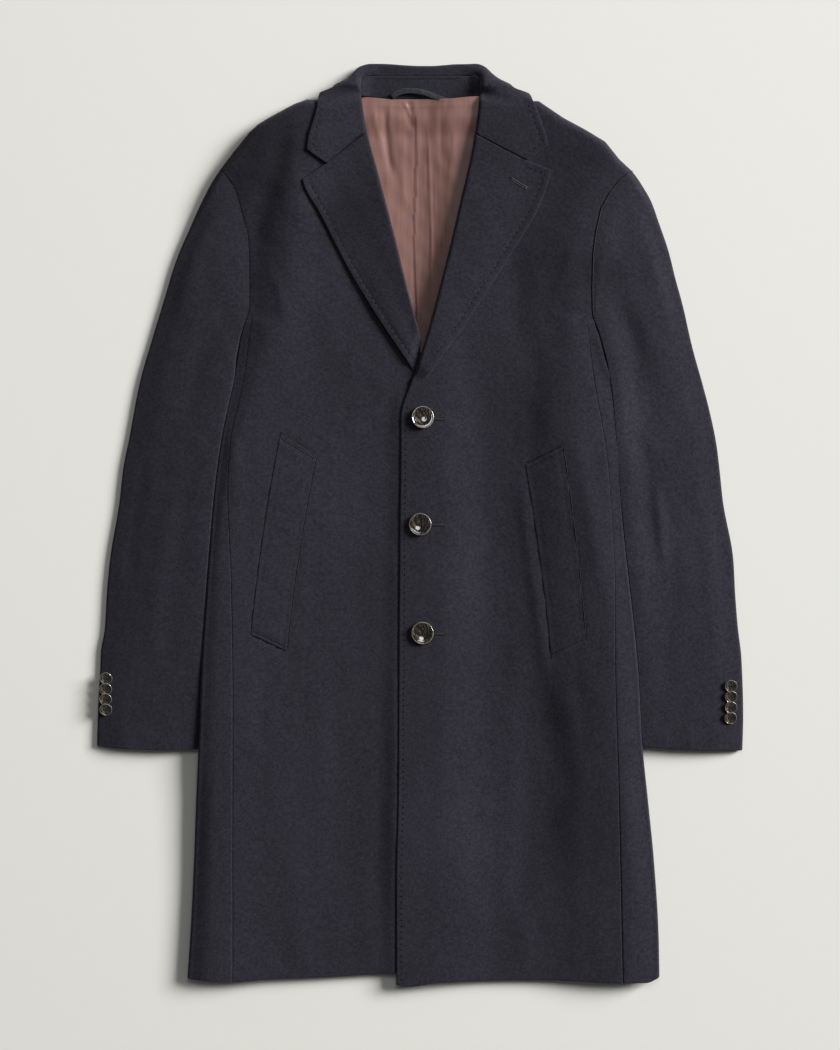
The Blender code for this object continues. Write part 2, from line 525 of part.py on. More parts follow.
COLLAR_RIGHT = [
    [(67.8, 494, 14), (68.6, 494, 18.5), (70.7, 494, 21.6), (77, 494, 22.4), (91, 493.5, 20.6),
     (105, 491.8, 17), (114, 489.6, 13.5), (119.4, 488.2, 10.5), (121.8, 487.6, 8), (122.6, 487.2, 5.5)],
    [(67.6, 499, 13), (69.2, 499, 17.8), (72, 499, 20.6), (80, 499, 20.8), (91, 498.8, 18),
     (100, 497.6, 12.5), (104, 495.6, 6.2), (102, 492, 1.2), (99, 487.5, 0), (94, 476, 0)],
    [(66.6, 503.5, 12), (69.4, 504.4, 16.2), (73.6, 505, 18.4), (80, 505.2, 17), (86.6, 504.6, 12.5),
     (89.6, 503, 6.8), (88.2, 500, 1.6), (85.6, 494.5, 0), (83, 486, 0), (79.5, 474, 0)],
    [(63, 506.8, 9.8), (67, 511.2, 12.2), (71, 514.6, 11.4), (74.4, 516, 8.4), (75, 516, 5),
     (73.6, 514.4, 1.6), (71.5, 510, 0), (69.5, 502, 0), (67.5, 491, 0), (64, 473.5, 0)],
    [(53, 507.4, 7.2), (56, 512.8, 8.6), (59, 517.4, 8.4), (61.6, 520.4, 6.4), (62.2, 521, 3.8),
     (61.2, 519.4, 1), (59, 514.5, 0), (57, 505, 0), (55, 492, 0), (52, 473, 0)],
]
# The back of the neck: x, y of the fold's edge and y of the outer edge underneath.
COLLAR_BACK = [(-42, 521.0, 472.5), (-28, 520.2, 472), (-14, 519.2, 471.5), (0, 518.6, 471.5), (14, 518.6, 471.5),
               (28, 519.6, 472), (42, 520.6, 472.5)]


def lapel_height(x, y, under):
    return rounded(top_height(x, y, under), x, y) + GAP + LAPEL


def lapel(side, looks):
    """The facing turned back: it rolls round the edge of the front and lies on it."""
    index = 0 if side < 0 else 1
    roll = mirrored(side, LEFT_ROLL, RIGHT_ROLL)
    outer = along(mirrored(side, LEFT_LAPEL, RIGHT_LAPEL), 17)
    grid = []
    for i, y in enumerate(np.linspace(LAPEL_FROM[index], LAPEL_TO[index] - HALF, 17)):
        start = np.array([float(smooth(roll, y)), y])
        span = outer[i] - start
        width = float(np.linalg.norm(span))
        turn = min(4.0, width * 0.4)
        crest = start + span * turn / width
        top = float(lapel_height(crest[0], crest[1], side < 0))
        row = [(*start, top - 6.5), (*start, top - 4.2)]
        for angle in np.radians([25, 50, 72]):
            plan = start + span / width * turn * (1 - np.cos(angle))
            row.append((*plan, top - 4 + 4 * np.sin(angle)))
        for share in np.linspace(turn / width, 1, 7):
            plan = start + span * share
            row.append((*plan, float(lapel_height(plan[0], plan[1], side < 0))))
        grid.append(row)
    wall(mirrored(side, "lapel_right_hand", "lapel_left_hand"), np.array(grid), LAPEL, looks["wool"], side < 0)


def leaf_height(x, y, under):
    """The collar leaf lies on the front and runs a little past the shoulder line before it turns down."""
    line = LEFT_SHOULDER if under else RIGHT_SHOULDER
    past = float(np.interp(abs(x), [abs(p[0]) for p in line], [p[1] for p in line])) - y
    near = np.clip((past + 5.2) / (SHOULDER_ROUND + 5.2), 0.05, 1)
    high = float(top_height(x, y, under))
    return SHOULDER_MID + (high - SHOULDER_MID) * np.sqrt(1 - (1 - near) ** 2) + GAP + COLLAR + 0.35 + 0.8 * (1 - near)


def leaf_rows(side):
    roll = mirrored(side, LEFT_ROLL, RIGHT_ROLL)
    edge = mirrored(side, LEFT_LEAF, RIGHT_LEAF)
    notch = np.array(mirrored(side, LEFT_NOTCH, RIGHT_NOTCH), float)
    rows = []
    for i, y in enumerate([446, 456, 466, 476, 486]):
        start = np.array([float(smooth(roll, y)), y + (HALF if i == 0 else 0)])
        end = np.array(edge[i], float)
        first = np.array([float(smooth(roll, 446)), 446 + HALF])
        share = np.linalg.norm(notch - first) / (np.linalg.norm(notch - first) + np.linalg.norm(edge[0] - notch))
        chord = first + (np.array(edge[0], float) - first) * share
        sag = (notch + (0, HALF) - chord) * LEAF_BEND[i]
        span = end - start
        width = float(np.linalg.norm(span))
        top = float(leaf_height(*(start + span * 4 / width), side < 0))
        row = [(*start, top - 7.5), (*start, top - 4.2)]
        for angle in np.radians([30, 60]):
            row.append((*(start + span / width * 4 * (1 - np.cos(angle))), top - 4 + 4 * np.sin(angle)))
        for t in np.linspace(4 / width, 1, 12):
            dip = t / share if t < share else (1 - t) / (1 - share)
            plan = start + span * t + sag * dip
            row.append((*plan, float(leaf_height(plan[0], plan[1], side < 0))))
        rows.append(row)
    return rows


def collar(looks):
    """The collar fall: a leaf on each front, draped over the shoulders and folded under at the back of the neck."""
    rows = leaf_rows(-1) + COLLAR_LEFT
    for x, y, low in COLLAR_BACK:
        rows.append([(x, 507.2, 6.9), (x, y - 6.5, 7.0), (x, y - 3.2, 6.9), (x, y - 0.9, 5.6), (x, y, 3.5),
                     (x, y - 0.9, 1.4), (x, y - 3.2, 0.1), (x, y - 10, 0), (x, y - 26, 0), (x, low, 0)])
    rows += COLLAR_RIGHT[::-1] + leaf_rows(1)[::-1]
    grid = np.array([along(row, 17) for row in rows])
    wall("collar", grid, COLLAR, looks["wool"], True)


STAND_Z = [(-63, 10.6), (-56, 8.4), (-44, 6.9), (-30, 6.4), (30, 6.4), (44, 6.9), (58, 8.4), (66, 10.6)]


def neck_y(x):
    """The neck seam, where the stand is sewn to the back."""
    return 480.4 + 2.8 * ease((np.abs(x) - 26) / 42)


def stand(looks):
    """The collar stand, lying open across the back of the neck."""
    grid = []
    for share in (0, 0.33, 0.67, 1):
        row = []
        for x in np.linspace(-61, 63.5, 13):
            low = float(neck_y(x)) + 0.5
            row.append((x, low + (506.5 - low) * share, float(smooth(STAND_Z, x)) - 0.4 * (share < 0.6)))
        grid.append(row)
    wall("collar_stand", np.array(grid), STAND, looks["wool"])


def inside_top(x, y):
    return underside(x, y) + CLOTH


def back_lining(looks):
    """The part of the lining that shows in the neck, running on in under the fronts."""
    grid = []
    for y in (104, 130, 160, 195, 235, 280, 325, 365, 400, 425, 440, 452, 462, 471, 479.6):
        under = 34 - 31 * ease((y - 380) / 90)
        a = float(smooth(LEFT_ROLL, y)) - under
        b = float(smooth(RIGHT_ROLL, y)) + under
        row = []
        for x in np.linspace(a, b, 9):
            drop = 7.5 * ease((abs(x) - 52) / 22) * ease((y - 440) / 40)
            clear = 1.1 * ease((y - 400) / 30)
            row.append((x, y - drop, float(inside_top(x, y - drop)) + GAP + LINING + clear))
        grid.append(row)
    wall("back_lining", np.array(grid), LINING, looks["lining"])


def hanger_loop(looks):
    """A band of the coat's cloth, sewn at both ends to the stand and arched between."""
    path = [(-33, 485.0, 8.6), (-27, 488.2, 8.6), (-18, 491.2, 9.2), (-6, 493.0, 10.2), (6, 492.2, 10.2),
            (17, 488.4, 10.0), (25, 484.6, 10.0), (31.5, 482.0, 10.0)]
    middle = along(path, 15)
    run = np.gradient(middle, axis=0)[:, :2]
    run /= np.linalg.norm(run, axis=1, keepdims=True)
    grid = []
    for point, (dx, dy) in zip(middle, run):
        grid.append([(point[0] - dy * s, point[1] + dx * s, point[2]) for s in (3.2, 1.1, -1.1, -3.2)])
    wall("hanger_loop", np.array(grid), 1.6, looks["wool"])


# ---------------------------------------------------------------- pocket welts and buttons
# Corners in plan (x, y): top outer, top inner, bottom inner, bottom outer, and how far the long edges bow.
WELTS = {
    "pocket_welt_right_hand": [(-156.2, 103.3), (-115.7, 78.6), (-149.7, -141.7), (-189.4, -122.7), 3.0, -1],
    "pocket_welt_left_hand": [(160.0, 88.4), (118.5, 68.5), (147.9, -150.3), (186.0, -132.2), 2.0, 1],
}


def welt(name, looks):
    a, b, c, d = (np.array(p, float) for p in WELTS[name][:4])
    bow, side = WELTS[name][4:]
    grid = []
    for t in np.linspace(0, 1, 15):
        p, q = a + (d - a) * t, b + (c - b) * t
        row = []
        for s in (0, 0.12, 0.5, 0.88, 1.0):
            plan = p + (q - p) * s + (side * bow * 4 * t * (1 - t), 0)
            rise = GAP + WELT - (0.7 if s in (0, 1.0) or t in (0, 1) else 0.0)
            row.append((*plan, laid(side, *plan) + 0.15 + rise))
        grid.append(row)
    grid = np.array(grid)
    lower = grid.copy()
    for r, t in enumerate(grid):
        for c_, point in enumerate(t):
            lower[r, c_, 2] = laid(side, point[0], point[1]) + 0.15 + GAP
    slab(name, grid, lower, looks["wool"], side < 0)


def slab(name, upper, lower, look, flip=False):
    """A closed solid between two grids."""
    rows, columns = upper.shape[:2]
    points = np.concatenate([upper.reshape(-1, 3), lower.reshape(-1, 3)])
    half = rows * columns
    faces = []
    for r in range(rows - 1):
        for c in range(columns - 1):
            a, b = r * columns + c, r * columns + c + 1
            faces.append((a, b, b + columns, a + columns))
            faces.append((a + half, a + columns + half, b + columns + half, b + half))
    rim = [(0, c) for c in range(columns)] + [(r, columns - 1) for r in range(1, rows)]
    rim += [(rows - 1, c) for c in range(columns - 2, -1, -1)] + [(r, 0) for r in range(rows - 2, 0, -1)]
    ring = [r * columns + c for r, c in rim]
    for i, a in enumerate(ring):
        b = ring[(i + 1) % len(ring)]
        faces.append((a, a + half, b + half, b))
    if flip:
        faces = [face[::-1] for face in faces]
    new_object(name, points, faces, look)


FRONT_BUTTONS = [(3, 121), (0.5, 1), (3, -121)]
CUFF_BUTTONS = {-1: [(-353.6, -172), (-354, -184), (-354, -195.5), (-353.8, -207)],
                1: [(350, -180.5), (350, -192.5), (350, -204.5), (349.5, -216.5)]}
CUFF_TILT = 15.5
# Section of a button: radius as a share of the whole, height in millimetres.
BUTTON_SECTION = [(0.0, 2.3), (0.60, 2.4), (0.88, 4.1), (0.97, 3.8), (1.0, 2.8), (0.60, 0.0), (0.0, 0.0)]


def button(name, center, across, tall, around, tilt, looks):
    points, faces = [], []
    radius = across / 2
    lean = np.radians(tilt)
    for share, z in BUTTON_SECTION:
        z *= tall / 4.1
        count = 1 if share == 0 else around
        for k in range(count):
            angle = 2 * np.pi * k / around
            x, y = radius * share * np.cos(angle), radius * share * np.sin(angle)
            points.append((center[0] + x, center[1] + y * np.cos(lean) - z * np.sin(lean),
                           center[2] + y * np.sin(lean) + z * np.cos(lean)))
    start = 1
    for k in range(around):
        faces.append((0, start + k, start + (k + 1) % around))
    for _ in range(len(BUTTON_SECTION) - 3):
        for k in range(around):
            m = (k + 1) % around
            faces.append((start + k, start + around + k, start + around + m, start + m))
        start += around
    last = len(points) - 1
    for k in range(around):
        faces.append((last, start + (k + 1) % around, start + k))
    new_object(name, points, faces, looks["horn"])


def buttons(looks):
    for i, (x, y) in enumerate(FRONT_BUTTONS):
        high = max(laid(1, x + dx, y + dy) for dx in (-8, 0, 8) for dy in (-8, 0, 8))
        button(f"front_button_{i + 1}", (x, y, high + GAP), FRONT_BUTTON, 4.1, 18, 0, looks)
    for side, places in CUFF_BUTTONS.items():
        hand = mirrored(side, "right_hand", "left_hand")
        rise = mirrored(side, 14.5, 15.7)
        for i, (x, y) in enumerate(places):
            button(f"cuff_button_{hand}_{i + 1}", (x, y, rise), CUFF_BUTTON, 2.8, 12, CUFF_TILT, looks)


def build():
    clear_scene()
    looks = make_looks()
    for side in (-1, 1):
        side_panel(side, looks)
        front(side, looks)
        sleeve(side, looks)
        lapel(side, looks)
    back(looks)
    collar(looks)
    stand(looks)
    back_lining(looks)
    hanger_loop(looks)
    for name in WELTS:
        welt(name, looks)
    buttons(looks)


build()
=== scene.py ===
"""A single-breasted navy wool overcoat, buttoned and laid flat on its back.

Lengths are in millimetres until a mesh is made, which is in metres. +X is to the wearer's left, +Y is
toward the collar and +Z is up from the surface that the coat lies on.
"""

from __future__ import annotations

import logging
import math
from collections.abc import Sequence
from dataclasses import dataclass, field
from enum import Enum
from functools import cached_property

import bpy
import numpy as np
from mathutils import Euler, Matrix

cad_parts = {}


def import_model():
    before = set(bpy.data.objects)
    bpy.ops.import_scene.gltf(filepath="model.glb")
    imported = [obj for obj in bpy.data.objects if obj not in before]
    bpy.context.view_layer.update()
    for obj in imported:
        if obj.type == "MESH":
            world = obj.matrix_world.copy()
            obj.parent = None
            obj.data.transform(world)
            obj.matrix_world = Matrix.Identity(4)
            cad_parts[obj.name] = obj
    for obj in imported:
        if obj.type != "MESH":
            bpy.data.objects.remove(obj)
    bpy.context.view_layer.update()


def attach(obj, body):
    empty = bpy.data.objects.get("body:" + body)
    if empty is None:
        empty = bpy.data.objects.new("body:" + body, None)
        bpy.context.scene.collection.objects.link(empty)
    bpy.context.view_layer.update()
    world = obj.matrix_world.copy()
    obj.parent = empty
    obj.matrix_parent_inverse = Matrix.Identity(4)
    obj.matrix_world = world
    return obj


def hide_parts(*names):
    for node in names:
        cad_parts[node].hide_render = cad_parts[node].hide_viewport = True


log = logging.getLogger("overcoat")

Array = np.ndarray
Point = tuple[float, float]
Spot = tuple[float, float, float]
Line = Sequence[Sequence[float]] | Array
Socket = bpy.types.NodeSocket
Material = bpy.types.Material
Piece = bpy.types.Object
ROOT = "root"
MM = 0.001
TINY = 1e-9
# Plan place, in millimetres, of the middle of the coat's box, which is the scene's own middle.
MIDDLE = np.array([0.155, 0.296, 0.0])
# y of the straight line that the hem swings about, of the cuffs' one and of the underarm, and how far in from
# its edge the cloth follows the hem or the cuff; then how wide the front and the cuff buttons are. All are in
# millimetres, as is every size in this file that names no other unit.
HEM_LINE = -515
CUFF_LINE = -253
UNDERARM = 232
HEM_REACH = 70
CUFF_REACH = 60
FRONT_ACROSS = 25.4
CUFF_ACROSS = 14.2


class Side(Enum):
    """The wearer's two sides, with the sign of x on each."""

    RIGHT = -1
    LEFT = 1

    @property
    def hand(self) -> str:
        """The word that ends the names of this side's pieces."""
        return "right_hand" if self is Side.RIGHT else "left_hand"

    def pick(self, right: object, left: object) -> object:
        """The first value on the wearer's right, the second on the left."""
        return right if self is Side.RIGHT else left


class Slot(Enum):
    """The finishes that the record names."""

    WOOL = "wool"
    LINING = "lining"
    HORN = "horn"


# ---- curves through short tables
def monotone_tangents(step: Array, slope: Array) -> Array:
    """Tangents of a cubic that doesn't overshoot.

    Args:
        step: Distance between neighbouring knots, along the last axis.
        slope: Rise over run between them.

    Returns:
        One tangent for each knot.
    """
    inner_a = 2 * step[..., 1:] + step[..., :-1]
    inner_b = step[..., 1:] + 2 * step[..., :-1]
    left, right = slope[..., :-1], slope[..., 1:]
    same = left * right > 1e-12
    safe_left, safe_right = np.where(same, left, 1.0), np.where(same, right, 1.0)
    middle = np.where(same, (inner_a + inner_b) / (inner_a / safe_left + inner_b / safe_right), 0.0)
    return np.concatenate([slope[..., :1], middle, slope[..., -1:]], axis=-1)


def hermite(t: Array, h: Array, v0: Array, v1: Array, m0: Array, m1: Array) -> Array:
    """Cubic between two knots.

    Args:
        t: Place between them, nought to one.
        h: Their distance.
        v0: First value.
        v1: Second value.
        m0: First tangent.
        m1: Second tangent.

    Returns:
        The value at each place.
    """
    s = 1 - t
    return v0 * (1 + 2 * t) * s * s + m0 * h * t * s * s + v1 * t * t * (3 - 2 * t) - m1 * h * t * t * s


def through_rows(knots: Array, values: Array, at: Array) -> Array:
    """Interpolates each row of a stack of small tables at its own place.

    Args:
        knots: Rising knots, one row for each place.
        values: Values at the knots.
        at: One place for each row.

    Returns:
        One value for each row.
    """
    step = np.diff(knots, axis=1)
    slope = np.diff(values, axis=1) / step
    tangent = monotone_tangents(step, slope)
    at = np.clip(at, knots[:, 0], knots[:, -1])
    i = np.sum(at[:, None] >= knots[:, 1:-1], axis=1)
    row = np.arange(len(at))
    h = step[row, i]
    t = (at - knots[row, i]) / h
    return hermite(t, h, values[row, i], values[row, i + 1], tangent[row, i], tangent[row, i + 1])


class Table:
    """A smooth curve, or several, through the rows of a short table whose first column is the place."""

    def __init__(self, rows: Sequence[Sequence[float]]) -> None:
        """Sorts the rows and works out their tangents.

        Args:
            rows: Place first, then one or more values.
        """
        ordered = sorted(rows)
        self.knots = np.array([row[0] for row in ordered], float)
        self.values = np.array([row[1:] for row in ordered], float).T
        self.step = np.diff(self.knots)
        self.tangent = monotone_tangents(self.step, np.diff(self.values, axis=1) / self.step)

    def __call__(self, at: Array | float, column: int = 0) -> Array:
        """Reads one column.

        Args:
            at: Places along the table.
            column: Which value, counted from nought.

        Returns:
            The values there.
        """
        at = np.clip(np.asarray(at, float), self.knots[0], self.knots[-1])
        i = np.clip(np.searchsorted(self.knots, at, side="right") - 1, 0, len(self.step) - 1)
        value, tangent = self.values[column], self.tangent[column]
        t = (at - self.knots[i]) / self.step[i]
        return hermite(t, self.step[i], value[i], value[i + 1], tangent[i], tangent[i + 1])

    def all(self, at: Array) -> Array:
        """Every column at each place, as rows."""
        return np.stack([self(at, column) for column in range(len(self.values))], axis=-1)


def ease(t: Array | float) -> Array:
    """From nought to one without a corner."""
    t = np.clip(t, 0, 1)
    return t * t * (3 - 2 * t)


def unit(vectors: Array) -> Array:
    """The same vectors, one millimetre long."""
    return vectors / np.maximum(np.linalg.norm(vectors, axis=-1, keepdims=True), TINY)


def corner_distances(points: Array) -> Array:
    """How far along a bent line each of its corners is."""
    return np.concatenate([[0], np.cumsum(np.linalg.norm(np.diff(points, axis=0), axis=1))])


def at_lengths(points: Line, lengths: Array) -> Array:
    """Walks along a bent line.

    Args:
        points: The line's corners.
        lengths: Distances from its start.

    Returns:
        One point for each distance.
    """
    points = np.asarray(points, float)
    run = corner_distances(points)
    return np.stack([np.interp(lengths, run, points[:, i]) for i in range(points.shape[1])], axis=1)


def line_length(points: Line) -> float:
    """Length of a bent line."""
    return float(np.sum(np.linalg.norm(np.diff(np.asarray(points, float), axis=0), axis=1)))


def along(points: Line, count: int) -> Array:
    """Points evenly spaced along a bent line.

    Args:
        points: The line's corners.
        count: How many points to give.

    Returns:
        The points, both ends among them.
    """
    return at_lengths(points, np.linspace(0, line_length(points), count))


def rounded_line(points: Line, count: int) -> Array:
    """A smooth line through a few points.

    Args:
        points: Points it passes through.
        count: How many points to give.

    Returns:
        Points evenly spaced along the smooth line.
    """
    points = np.asarray(points, float)
    run = corner_distances(points)
    tangent = np.gradient(points, run, axis=0)
    fine = np.linspace(0, run[-1], count * 4)
    i = np.clip(np.searchsorted(run, fine, side="right") - 1, 0, len(run) - 2)
    h = (run[i + 1] - run[i])[:, None]
    t = (fine - run[i])[:, None] / h
    dense = hermite(t, h, points[i], points[i + 1], tangent[i], tangent[i + 1])
    return along(dense, count)


def segment_distance(x: Array, y: Array, line: Line) -> tuple[Array, Array]:
    """Distance from points to a bent line.

    Args:
        x: Plan x of the points.
        y: Plan y.
        line: The line's corners.

    Returns:
        The distance, and how far along the line the nearest point is, nought to one.
    """
    best = np.full(np.shape(x), 1e9)
    where = np.zeros(np.shape(x))
    line = np.asarray(line, float)
    run = corner_distances(line)
    for k in range(len(line) - 1):
        (ax, ay), (bx, by) = line[k], line[k + 1]
        dx, dy = bx - ax, by - ay
        t = np.clip(((x - ax) * dx + (y - ay) * dy) / (dx * dx + dy * dy), 0, 1)
        gap = np.hypot(x - ax - t * dx, y - ay - t * dy)
        nearer = gap < best
        best = np.where(nearer, gap, best)
        where = np.where(nearer, (run[k] + t * (run[k + 1] - run[k])) / run[-1], where)
    return best, where


# ---- outlines, (y, x)
FOLD_LINE = {
    Side.RIGHT: [(-515, -262), (-468, -259), (-389, -255), (-311, -252), (-252, -249), (-147, -245),
        (-89, -241), (-32, -237), (41, -231), (93, -224), (136, -215.5), (163, -209.5), (188, -205.2),
        (210, -201.8), (224, -197.8), (232, -195.2)],
    Side.LEFT: [(-515, 270), (-462, 269), (-382, 264), (-311, 257), (-246, 250), (-171, 246), (-106, 240),
        (-34, 232), (31, 226), (96, 222), (142, 218), (165, 214), (194, 206), (214, 201), (232, 195)],
}
ARM_LINE = {
    Side.RIGHT: [(232, -195.2), (242, -192.6), (254, -191.8), (294, -192), (328, -194), (345, -199),
        (377, -208), (401, -225)],
    Side.LEFT: [(232, 195), (242, 193.5), (266, 193), (304, 194), (329, 197), (356, 203), (375, 214),
        (388, 224), (399, 239)],
}
SEAM_LINE = {
    Side.RIGHT: [(-515, -210.5), (-400, -210.5), (-197, -210), (-60, -212), (41, -216), (93, -213),
        (160, -199), (232, -189)],
    Side.LEFT: [(-515, 228), (-300, 223), (-142, 219), (-70, 219), (2, 216), (69, 211), (110, 205),
        (160, 196), (232, 187)],
}
OVER_EDGE = [(-520, -26), (-397, -26), (-311, -24), (-121, -23), (1, -22), (85, -21), (122, -21), (134, -19),
             (153, -12), (173, -5)]
# The roll of each lapel and of the collar, as seen from above.
ROLL_LINE = {
    Side.RIGHT: [(160, 12), (173, 8), (205, 2), (266, -14), (323, -28), (392, -46), (442, -59), (483, -66),
        (500, -67.5)],
    Side.LEFT: [(160, -9), (173, -5), (204, 5), (251, 18), (306, 32), (370, 47), (418, 58), (462, 65),
        (483, 67), (500, 68.5)],
}
# Shoulder lines, from the neck to the shoulder point, (x, y).
SHOULDER_LINE = {
    Side.RIGHT: [(-70, 480.5), (-83, 480.5), (-98, 478.8), (-109, 477.4), (-118, 479.4), (-127, 480.0),
        (-141, 475), (-169, 460), (-182, 452), (-192, 443), (-209, 422), (-225, 401)],
    Side.LEFT: [(71, 480.5), (86, 480.5), (102, 478.6), (117, 476.6), (127, 478.2), (134, 478.0),
        (162, 459), (186, 446), (209, 432), (225, 412), (239, 399)],
}
SLEEVE_LINE = {
    Side.RIGHT: [(-255, -364.5), (-198, -363), (-166, -361), (-141, -360), (-119, -356), (-71, -353),
        (-40, -350), (28, -339), (63, -335), (99, -328), (162, -316), (211, -302), (247, -291),
        (299, -275), (332, -261), (373, -242), (396, -229), (401, -225.5)],
    Side.LEFT: [(-255, 364), (-214, 365), (-150, 363), (-115, 359), (-78, 356), (-40, 354), (28, 342),
        (66, 338), (90, 335), (129, 327), (156, 320), (203, 307), (247, 297), (280, 288), (308, 281),
        (343, 269), (365, 261), (384, 250), (396, 242), (399, 239.5)],
}
HEM_EDGE = {
    Side.RIGHT: [(-262, -510.5), (-225, -513.5), (-205, -513.5), (-174, -511), (-102, -508.3),
        (-28, -504.8), (30, -504.8)],
    Side.LEFT: [(-26, -517), (-19, -519.4), (-12, -519.4), (11, -516.5), (20, -514.8), (63, -512.8),
        (128, -512), (171, -513), (214, -514.8), (255, -514.8), (270, -509)],
}
BACK_HEM = [(-262, -510.5), (-205, -513.5), (-174, -510), (-102, -506.5), (-28, -502.8), (40, -505),
            (128, -509.5), (171, -511.5), (214, -514.8), (270, -509)]
# How far the cuff's edge rises above its straight line (x, mm), on the wearer's right and left.
CUFF_EDGE = {
    Side.RIGHT: [(-366, 5.6), (-350, 3.6), (-339, 2.6), (-316, 1.5), (-294, 0.9), (-250, 1.9), (-230, 2.2)],
    Side.LEFT: [(228, 6.0), (252, 4.8), (271, 2.9), (302, 0.9), (335, 0.2), (370, 0.0)],
}

# ---- heights of the top of the coat
# Columns: y, then from the wearer's right to the left the height at the fold, the ridge, the hollow, before
# the lap, at it, past it, in the hollow, at the foot of the rise, at its top, at the ridge and at the fold.
HEIGHTS = [
    (-520, 12.0, 18.0, 12.5, 11.0, 14.0, 14.5, 11.0, 12.0, 15.5, 18.5, 14.0),
    (-420, 12.0, 18.5, 13.5, 11.6, 17.0, 17.4, 11.5, 13.0, 18.5, 21.5, 15.0),
    (-320, 14.0, 20.0, 14.5, 12.0, 18.3, 18.2, 11.4, 13.6, 21.0, 24.5, 17.0),
    (-250, 18.0, 21.6, 15.5, 12.6, 18.3, 18.2, 11.3, 14.0, 22.0, 25.6, 20.5),
    (-120, 19.0, 22.2, 16.5, 14.0, 17.8, 18.7, 11.5, 15.6, 21.0, 25.6, 21.0),
    (0, 18.8, 22.6, 17.0, 15.0, 17.8, 19.8, 12.5, 16.8, 22.5, 25.6, 21.2),
    (120, 17.8, 22.8, 18.0, 16.5, 19.4, 21.2, 14.5, 17.5, 24.8, 25.4, 21.4),
    (200, 16.6, 22.8, 19.5, 18.5, 21.6, 22.0, 17.5, 17.5, 22.5, 25.0, 21.2),
    (280, 16.0, 25.0, 21.5, 20.5, 21.5, 20.0, 18.8, 16.6, 20.8, 24.6, 23.8),
    (360, 14.5, 26.5, 23.5, 21.0, 20.0, 18.0, 18.5, 18.0, 21.0, 25.6, 24.8),
    (440, 14.0, 24.5, 23.5, 21.5, 19.0, 17.5, 18.0, 18.8, 21.5, 24.5, 22.0),
    (500, 14.0, 18.0, 20.0, 20.0, 20.0, 20.0, 20.0, 20.0, 19.0, 17.5, 16.0),
]
# Where the ridge runs, as a share of the way out from the middle: y, then on the wearer's right and left.
RIDGES = [(-520, 0.90, 0.87), (-120, 0.93, 0.89), (0, 0.94, 0.84), (100, 0.90, 0.77), (170, 0.86, 0.81),
          (230, 0.80, 0.86), (300, 0.76, 0.90), (370, 0.66, 0.90), (500, 0.62, 0.88)]

# How high the underside is lifted at each side fold, where a sleeve passes beneath it.
LIFT = [(-520, 0), (-345, 0), (-300, 2.5), (-262, 9.9), (-240, 10.0), (196, 10.0), (214, 6.5), (232, 3.0)]

# Both sleeves: rows from the armhole to the cuff, as (y at the inner fold, y at the outer fold).
SLEEVE_ROWS = [(232, 400), (228, 386), (222, 368), (213, 347), (201, 322), (185, 294), (164, 262),
               (136, 222), (102, 178), (62, 128), (18, 74), (-28, 18), (-74, -38), (-120, -94), (-164, -146),
               (-204, -194), (-234, -230), (-253, -253)]
# How far the sleeve's inner fold runs in beneath the side fold (y, mm). Below nought it lies beside it.
TUCK = [(-255, 12), (-150, 13), (0, 13), (80, 12), (120, 9), (150, 5), (175, 1), (190, -0.35), (232, -0.45)]
# Sleeve heights: y at the inner fold, then the height at the inner fold, just past it, at three places
# across and at the outer fold.
SLEEVE_HEIGHTS = {
    Side.RIGHT: [(-255, 8.8, 12.5, 13.0, 12.5, 11.5, 6.5), (-120, 8.8, 18.5, 16.8, 15.5, 12.0, 6.0),
        (0, 8.8, 20.3, 18.3, 16.5, 12.5, 6.0), (100, 8.8, 20.9, 18.6, 17.0, 13.0, 6.0),
        (170, 9.2, 20.2, 18.5, 17.0, 13.5, 6.5), (184, 9.6, 19.8, 18.3, 17.0, 13.7, 6.9),
        (195, 15.6, 19.0, 18.0, 17.0, 14.0, 7.4), (210, 17.0, 18.2, 17.9, 17.1, 14.4, 8.8),
        (222, 17.2, 17.8, 17.8, 17.2, 15.0, 10.5), (232, 17.2, 17.6, 17.8, 17.5, 16.0, 14.0)],
    Side.LEFT: [(-255, 8.8, 12.5, 12.5, 12.5, 11.5, 8.5), (-120, 8.8, 18.6, 15.5, 15.0, 12.5, 8.0),
        (0, 8.8, 21.2, 15.8, 15.5, 13.0, 8.0), (50, 8.8, 21.9, 16.4, 16.2, 13.8, 8.2),
        (100, 8.8, 22.1, 16.6, 17.0, 14.5, 8.5), (170, 9.2, 21.9, 17.4, 18.0, 15.5, 9.0),
        (184, 9.6, 22.2, 18.0, 18.5, 16.0, 9.7), (195, 18.0, 22.3, 18.8, 18.9, 16.4, 10.4),
        (210, 20.8, 22.2, 20.0, 19.5, 16.8, 11.8), (222, 20.9, 21.9, 21.0, 20.0, 17.0, 13.0),
        (232, 20.9, 21.6, 21.0, 20.5, 18.0, 16.0)],
}
LAPEL_EDGE = {
    Side.RIGHT: [(-6, 173.5), (-43, 228), (-75, 280), (-111, 349), (-129.6, 384), (-130.6, 388.3)],
    Side.LEFT: [(-3.5, 161.5), (7, 167.5), (22, 187), (49, 224), (76, 266), (92, 290), (121, 337),
        (131, 354), (138.5, 372), (145.6, 395.5), (146.5, 399.5)],
}
LEAF_EDGE = {
    Side.RIGHT: [(-127.0, 421.0), (-124.8, 436), (-120.5, 451), (-116.8, 463), (-114.4, 474)],
    Side.LEFT: [(144.0, 427.0), (140.6, 440), (136.2, 453), (132.0, 464.5), (127.5, 475)],
}
NOTCH = {Side.RIGHT: (-105.5, 405.9), Side.LEFT: (120.2, 409.6)}
LAPEL_FROM = {Side.RIGHT: 208.0, Side.LEFT: 167.0}
LAPEL_TO = {Side.RIGHT: 441.8, Side.LEFT: 439.8}
LEAF_ROW_Y = (0.0, 452.0, 464.0, 475.5, 486.0)
